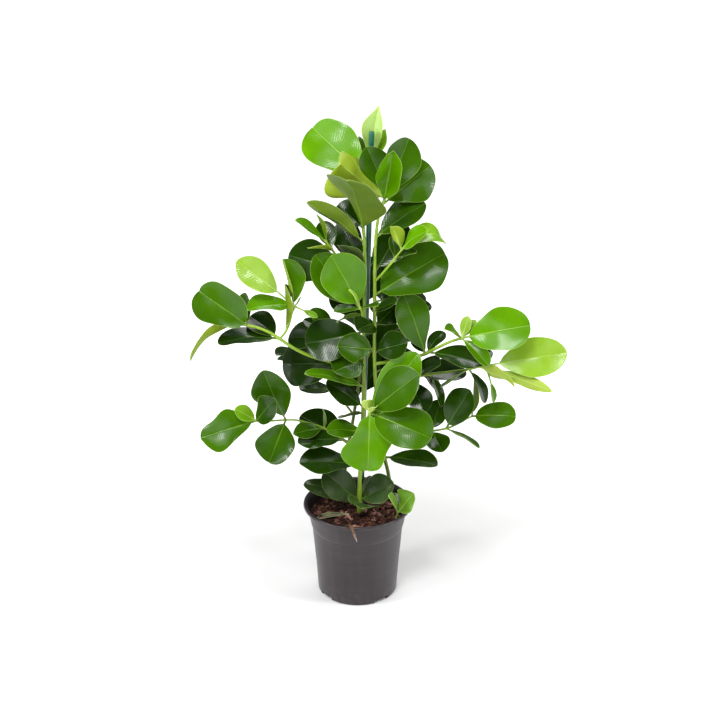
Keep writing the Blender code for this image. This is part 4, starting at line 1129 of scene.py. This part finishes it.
class Finish:
    """A material under construction: each method adds one node and gives its output."""

    def __init__(self, name):
        self.material = bpy.data.materials.new(name)
        self.material.use_nodes = True
        self.tree = self.material.node_tree
        self.shader = self.tree.nodes["Principled BSDF"]

    def feed(self, socket, value):
        if isinstance(value, bpy.types.NodeSocket):
            self.tree.links.new(value, socket)
        else:
            socket.default_value = value

    def node(self, kind, inputs, **settings):
        made = self.tree.nodes.new(kind)
        for key, value in settings.items():
            setattr(made, key, value)
        for name, value in inputs.items():
            self.feed(made.inputs[name], value)
        return made

    def place(self):
        return self.node("ShaderNodeTexCoord", {}).outputs["Object"]

    def marks(self, name):
        """The three numbers of a mark kept on the mesh."""
        mark = self.node("ShaderNodeAttribute", {}, attribute_name=name)
        return self.node("ShaderNodeSeparateXYZ", {0: mark.outputs["Vector"]}).outputs[:3]

    def sums(self, operation, *values, clamp=False):
        made = self.node("ShaderNodeMath", dict(enumerate(values)), operation=operation)
        made.use_clamp = clamp
        return made.outputs[0]

    def stretched(self, vector, scale):
        return self.node("ShaderNodeMapping", {"Vector": vector, "Scale": scale}).outputs[0]

    def noise(self, vector, scale, detail=2.0, rough=0.5):
        return self.node("ShaderNodeTexNoise",
                         {"Vector": vector, "Scale": scale,
                          "Detail": detail, "Roughness": rough}).outputs[0]

    def step(self, value, low, high, start=0.0, end=1.0):
        """A soft step from start to end, as the value goes from low to high."""
        return self.node("ShaderNodeMapRange",
                         {"Value": value, "From Min": low, "From Max": high,
                          "To Min": start, "To Max": end},
                         interpolation_type="SMOOTHSTEP").outputs[0]

    def ramp(self, value, stops):
        made = self.node("ShaderNodeValToRGB", {"Fac": value})
        marks = made.color_ramp.elements
        while len(marks) < len(stops):
            marks.new(1.0)
        for mark, (place, colour) in zip(marks, stops):
            mark.position = place
            mark.color = linear(*colour)
        return made.outputs["Color"]

    def mix(self, share, first, second, way="MIX"):
        made = self.node("ShaderNodeMix", {0: share, 6: first, 7: second},
                         data_type="RGBA", blend_type=way)
        return made.outputs[2]

    def bump(self, height, distance, strength=1.0, over=None):
        inputs = {"Height": height, "Distance": distance, "Strength": strength}
        if over:
            inputs["Normal"] = over
        return self.node("ShaderNodeBump", inputs).outputs[0]

    def done(self, colour, roughness, bump=None, **fixed):
        """Joins the outputs to the shader; fixed values go straight on its own sockets."""
        self.feed(self.shader.inputs["Base Color"], colour)
        self.feed(self.shader.inputs["Roughness"], roughness)
        if bump:
            self.feed(self.shader.inputs["Normal"], bump)
        for name, value in fixed.items():
            self.shader.inputs[name.replace("_", " ")].default_value = value
        return self.material


def leaf_finish():
    """A leathery leaf: glossy above, dull and paler below, veined, with a pale rim."""
    make = Finish("leathery_leaf")
    along, across, margin = make.marks("leaf_place")
    tone, upper, _ = make.marks("leaf_tone")
    share = make.marks("grain")[0]
    where = make.place()
    side = make.sums("ABSOLUTE", across)

    cloud = make.noise(where, 13.0, 3.0, 0.55)
    fine = make.noise(where, 260.0, 2.0, 0.6)
    shade = make.sums("MULTIPLY_ADD", cloud, 0.24, make.sums("ADD", tone, -0.13))
    shade = make.sums("MULTIPLY_ADD", fine, 0.04, shade)
    young = make.step(share, 0.0, 0.5, 0.07, -0.02)
    shade = make.sums("ADD", shade, young)
    above = make.ramp(shade, [(0.0, (13, 36, 0)), (0.2, (27, 59, 0)), (0.45, (58, 102, 0)),
                              (0.7, (94, 152, 0)), (0.88, (136, 176, 44)),
                              (1.0, (166, 198, 108))])
    below = make.ramp(shade, [(0.0, (50, 64, 32)), (0.25, (72, 96, 22)), (0.5, (104, 130, 20)),
                              (0.75, (146, 170, 36)), (1.0, (190, 214, 112))])
    colour = make.mix(upper, below, above)
    height = make.node("ShaderNodeSeparateXYZ", {0: where}).outputs[2]
    old = make.step(height, 0.24, 0.33, 0.36, 0.0)
    colour = make.mix(old, colour, linear(80, 98, 60))

    lean = make.sums("MULTIPLY_ADD", side, -0.62, along)
    drift = make.noise(where, 22.0, 1.0)
    phase = make.sums("MULTIPLY_ADD", lean, math.tau / VEIN_SPACING,
                      make.sums("MULTIPLY", drift, 14.0))
    veins = make.sums("SINE", phase)
    lines = make.step(veins, 0.5, 1.0)
    fade = make.step(side, 0.001, 0.006)
    lines = make.sums("MULTIPLY", lines, fade)
    colour = make.mix(make.sums("MULTIPLY", lines, 0.035), colour,
                      make.mix(0.5, colour, linear(205, 225, 120)))

    rib_width = make.step(share, 0.05, 1.0, 0.0019, 0.0005)
    rib = make.sums("DIVIDE", side, rib_width)
    rib = make.step(rib, 0.55, 1.35, 1.0, 0.0)
    rib_shade = make.ramp(shade, [(0.0, (70, 98, 36)), (0.25, (92, 130, 40)),
                                  (0.5, (136, 178, 44)), (1.0, (206, 230, 130))])
    strength = make.step(upper, 0.0, 1.0, 0.7, 0.42)
    colour = make.mix(make.sums("MULTIPLY", rib, strength), colour, rib_shade)

    rim = make.step(margin, 0.0002, 0.0013, 0.7, 0.0)
    rim_shade = make.ramp(shade, [(0.0, (92, 112, 60)), (0.5, (158, 186, 84)),
                                  (1.0, (212, 230, 150))])
    colour = make.mix(rim, colour, rim_shade)

    rough = make.step(upper, 0.0, 1.0, 0.52, 0.17)
    rough = make.sums("MULTIPLY_ADD", fine, 0.08, make.sums("ADD", rough, -0.04))
    rough = make.sums("MULTIPLY_ADD", old, 0.3, rough)
    relief = make.bump(veins, 0.00008, 0.5)
    relief = make.bump(make.noise(where, 34.0, 2.0), 0.0012, 0.5, relief)
    return make.done(colour, rough, relief, Specular_IOR_Level=0.23)


def dry_leaf_finish():
    """A dropped leaf: grey-green and dull, browner in patches, with a pale rim."""
    make = Finish("dry_leaf")
    _, across, margin = make.marks("leaf_place")
    where = make.place()
    patch = make.noise(where, 60.0, 3.0)
    colour = make.ramp(patch, [(0.3, (58, 62, 40)), (0.5, (84, 90, 60)),
                               (0.7, (112, 112, 78))])
    rib = make.step(make.sums("ABSOLUTE", across), 0.0004, 0.0012, 0.7, 0.0)
    colour = make.mix(rib, colour, linear(158, 156, 118))
    rim = make.step(margin, 0.0004, 0.0022, 0.8, 0.0)
    colour = make.mix(rim, colour, linear(176, 178, 142))
    relief = make.bump(make.noise(where, 340.0, 3.0), 0.0006, 0.6)
    return make.done(colour, make.step(patch, 0.3, 0.7, 0.5, 0.7), relief,
                     Specular_IOR_Level=0.3)


def stem_finish():
    """Stem skin: brown and woody when old, yellow-green and smooth when young."""
    make = Finish("stem_skin")
    age, joint, _ = make.marks("grain")
    where = make.place()
    streak = make.noise(make.stretched(where, (1, 1, 0.12)), 420.0, 3.0)
    cloud = make.noise(where, 60.0, 3.0)
    shade = make.sums("MULTIPLY_ADD", cloud, 0.2, make.sums("ADD", age, -0.1))
    shade = make.sums("MULTIPLY_ADD", streak, 0.1, shade)
    colour = make.ramp(shade, [(0.0, (92, 78, 54)), (0.25, (102, 104, 44)),
                               (0.5, (106, 134, 28)), (0.8, (132, 170, 30)),
                               (1.0, (172, 200, 70))])
    scar = make.sums("MULTIPLY", joint, make.step(streak, 0.35, 0.65, 0.05, 0.3))
    colour = make.mix(scar, colour, linear(160, 162, 92))
    rough = make.step(shade, 0.1, 0.8, 0.7, 0.36)
    relief = make.bump(streak, 0.0004, 0.5)
    return make.done(colour, rough, relief, Specular_IOR_Level=0.5)


def pot_finish():
    """Thin moulded plastic: dark warm grey, faint vertical flow and scuffs, dust low down."""
    make = Finish("moulded_pot")
    where = make.place()
    axes = make.node("ShaderNodeSeparateXYZ", {0: where}).outputs
    flow = make.noise(make.stretched(where, (1, 1, 0.08)), 46.0, 3.0)
    specks = make.noise(where, 520.0, 2.0, 0.7)
    bands = make.noise(make.stretched(where, (0.05, 0.05, 1)), 120.0, 3.0)
    shade = make.sums("MULTIPLY_ADD", flow, 0.5, make.sums("MULTIPLY", specks, 0.22))
    shade = make.sums("MULTIPLY_ADD", bands, 0.28, shade)
    colour = make.ramp(shade, [(0.2, (34, 28, 31)), (0.5, (49, 42, 46)), (0.8, (67, 58, 63))])
    dust = make.sums("MULTIPLY", make.step(axes[2], 0.0, 0.05, 0.14, 0.0),
                     make.step(make.noise(where, 70.0, 4.0), 0.45, 0.7))
    colour = make.mix(dust, colour, linear(140, 126, 112))
    rough = make.sums("MULTIPLY_ADD", flow, 0.16, 0.27)
    relief = make.bump(bands, 0.0004, 0.3)
    relief = make.bump(specks, 0.00012, 0.5, relief)
    return make.done(colour, rough, relief, Specular_IOR_Level=0.5)


def bark_finish():
    """Bark chips, crumbs and strands: each has its own brown, with fibrous grain."""
    make = Finish("bark_chips")
    shade, _, strand = make.marks("grain")
    where = make.place()
    grain = make.noise(make.stretched(where, (1, 1, 2.5)), 420.0, 4.0, 0.65)
    patch = make.noise(where, 90.0, 3.0)
    mixed = make.sums("MULTIPLY_ADD", grain, 0.36, make.sums("ADD", shade, -0.2))
    mixed = make.sums("MULTIPLY_ADD", patch, 0.2, mixed)
    chips = make.ramp(mixed, [(0.0, (22, 10, 6)), (0.3, (44, 22, 15)), (0.6, (80, 45, 34)),
                              (0.85, (122, 80, 66)), (1.0, (164, 122, 108))])
    straws = make.ramp(mixed, [(0.0, (60, 34, 20)), (0.5, (106, 68, 42)),
                               (1.0, (164, 122, 84))])
    colour = make.mix(strand, chips, straws)
    relief = make.bump(grain, 0.0012, 0.8)
    return make.done(colour, make.step(patch, 0.3, 0.7, 0.95, 0.8), relief,
                     Specular_IOR_Level=0.25)


def stake_finish():
    """Smooth green plastic coating with fine rubbed marks."""
    make = Finish("stake_coating")
    where = make.place()
    rub = make.noise(make.stretched(where, (1, 1, 0.2)), 160.0, 3.0)
    colour = make.ramp(rub, [(0.3, (8, 74, 52)), (0.55, (16, 96, 70)), (0.75, (44, 128, 98))])
    relief = make.bump(rub, 0.0003, 0.4)
    return make.done(colour, make.step(rub, 0.3, 0.7, 0.3, 0.42), relief,
                     Specular_IOR_Level=0.5, Coat_Weight=0.2, Coat_Roughness=0.2)


def husk_finish():
    """Dry stalk: brown at its root and pinkish straw at its tip, with long fibres."""
    make = Finish("dry_stalk")
    share = make.marks("grain")[0]
    where = make.place()
    grain = make.noise(make.stretched(where, (1, 1, 0.2)), 700.0, 3.0)
    shade = make.sums("MULTIPLY_ADD", grain, 0.4, make.sums("ADD", share, -0.2))
    colour = make.ramp(shade, [(0.0, (54, 34, 22)), (0.4, (90, 64, 42)), (0.7, (116, 88, 66)),
                               (1.0, (178, 152, 140))])
    relief = make.bump(grain, 0.0008, 0.7)
    return make.done(colour, 0.78, relief, Specular_IOR_Level=0.3)


def floor_finish():
    """Pale floor with a painted glow: it gives off no light at the pot and brightens away from
    it.
    """
    make = Finish("pale_floor")
    far = make.node("ShaderNodeVectorMath", {0: make.place()}, operation="LENGTH")
    # Painted glow: the emission grows with distance from the pot, so the far floor shows white.
    near = make.step(far.outputs["Value"], 0.16, 1.3, 0.0, 0.8)
    glow = make.sums("ADD", near, make.step(far.outputs["Value"], 1.5, 5.0, 0.0, 0.25))
    make.feed(make.shader.inputs["Emission Color"], (1.0, 1.0, 1.0, 1.0))
    make.feed(make.shader.inputs["Emission Strength"], glow)
    return make.done((0.86, 0.86, 0.86, 1.0), 0.9, Specular_IOR_Level=0.1)


# The object

def settle(piece, node):
    """Sets a piece on the pot's body, in the place of its plain solid."""
    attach(piece, "root")
    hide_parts(node)


def make_dropped_leaf(finish):
    """The dry leaf that lies on the bark."""
    bm, marks = blank()
    pose = (Vector(DRY_LEAF_ROOT) * MM, Vector(DRY_LEAF.reach) * MM, 0.0, 1.0)
    add_leaf(bm, marks, DRY_LEAF, pose, random.Random(2))
    return finished(bm, "dropped_leaf", [finish])


finishes = [leaf_finish(), stem_finish()]
poses = leaf_poses()

settle(make_pot(pot_finish()), "pot")
settle(make_soil(bark_finish()), "soil")
settle(make_stake(stake_finish()), "stake")
settle(make_husk(husk_finish()), "husk")
settle(make_dropped_leaf(dry_leaf_finish()), "fallen_leaf")
for shoot in SHOOTS:
    settle(make_shoot(shoot, poses[shoot.name], finishes),
           shoot.name)

# Floor, light and camera

FLOOR_RADIUS = 16.0
# Each panel's name, its place, the point it aims at, its width and height, all in metres,
# and its glow
PANELS = (
    ("panel_key", (-0.6, -1.7, 2.8), (0, 0, 0.6), 2.4, 1.5, 2.9),
    ("panel_key_core", (-0.6, -1.65, 2.75), (0, 0, 0.6), 0.8, 0.42, 28.0),
    ("panel_left", (-2.2, -0.8, 1.8), (0, 0, 0.6), 1.5, 1.9, 2.3),
    ("panel_left_core", (-2.15, -0.8, 1.8), (0, 0, 0.6), 0.42, 0.75, 22.0),
    ("panel_right", (2.2, -0.7, 1.9), (0, 0, 0.6), 1.5, 1.9, 2.3),
    ("panel_right_core", (2.15, -0.7, 1.9), (0, 0, 0.6), 0.42, 0.75, 22.0),
    ("panel_back", (0.3, 1.5, 2.7), (0, 0, 0.7), 1.6, 1.0, 6.4))
SKY_GLOW = 0.12
LENS = 69.0
FILM_WIDTH = 36.0
CAMERA_PLACE = (0.0057, -2.70, 1.693)
CAMERA_DIP = 22.85


def add_floor():
    """A wide round floor on z = 0."""
    bm = bmesh.new()
    bmesh.ops.create_circle(bm, cap_ends=True, segments=96, radius=FLOOR_RADIUS)
    mesh = bpy.data.meshes.new("floor")
    bm.to_mesh(mesh)
    bm.free()
    mesh.materials.append(floor_finish())
    add_object("floor", mesh)


def add_panel(name, place, aim, width, height, glow):
    """A soft light panel; glow is its brightness, where white paper is 1."""
    lamp = bpy.data.lights.new(name, "AREA")
    lamp.shape = "RECTANGLE"
    lamp.size = width
    lamp.size_y = height
    lamp.energy = glow * math.pi * width * height
    holder = add_object(name, lamp)
    holder.location = place
    away = Vector(aim) - Vector(place)
    holder.rotation_euler = away.to_track_quat("-Z", "Y").to_euler()


add_floor()
for panel in PANELS:
    add_panel(*panel)

world = bpy.data.worlds.new("studio")
world.use_nodes = True
sky = world.node_tree.nodes["Background"].inputs
sky["Color"].default_value = (1.0, 1.0, 1.0, 1.0)
sky["Strength"].default_value = SKY_GLOW
bpy.context.scene.world = world

lens = bpy.data.cameras.new("camera")
lens.lens = LENS
lens.sensor_width = FILM_WIDTH
camera = add_object("camera", lens)
camera.location = CAMERA_PLACE
camera.rotation_euler = (math.radians(90 - CAMERA_DIP), 0.0, 0.0)
bpy.context.scene.camera = camera
bpy.context.scene.view_settings.view_transform = "Standard"
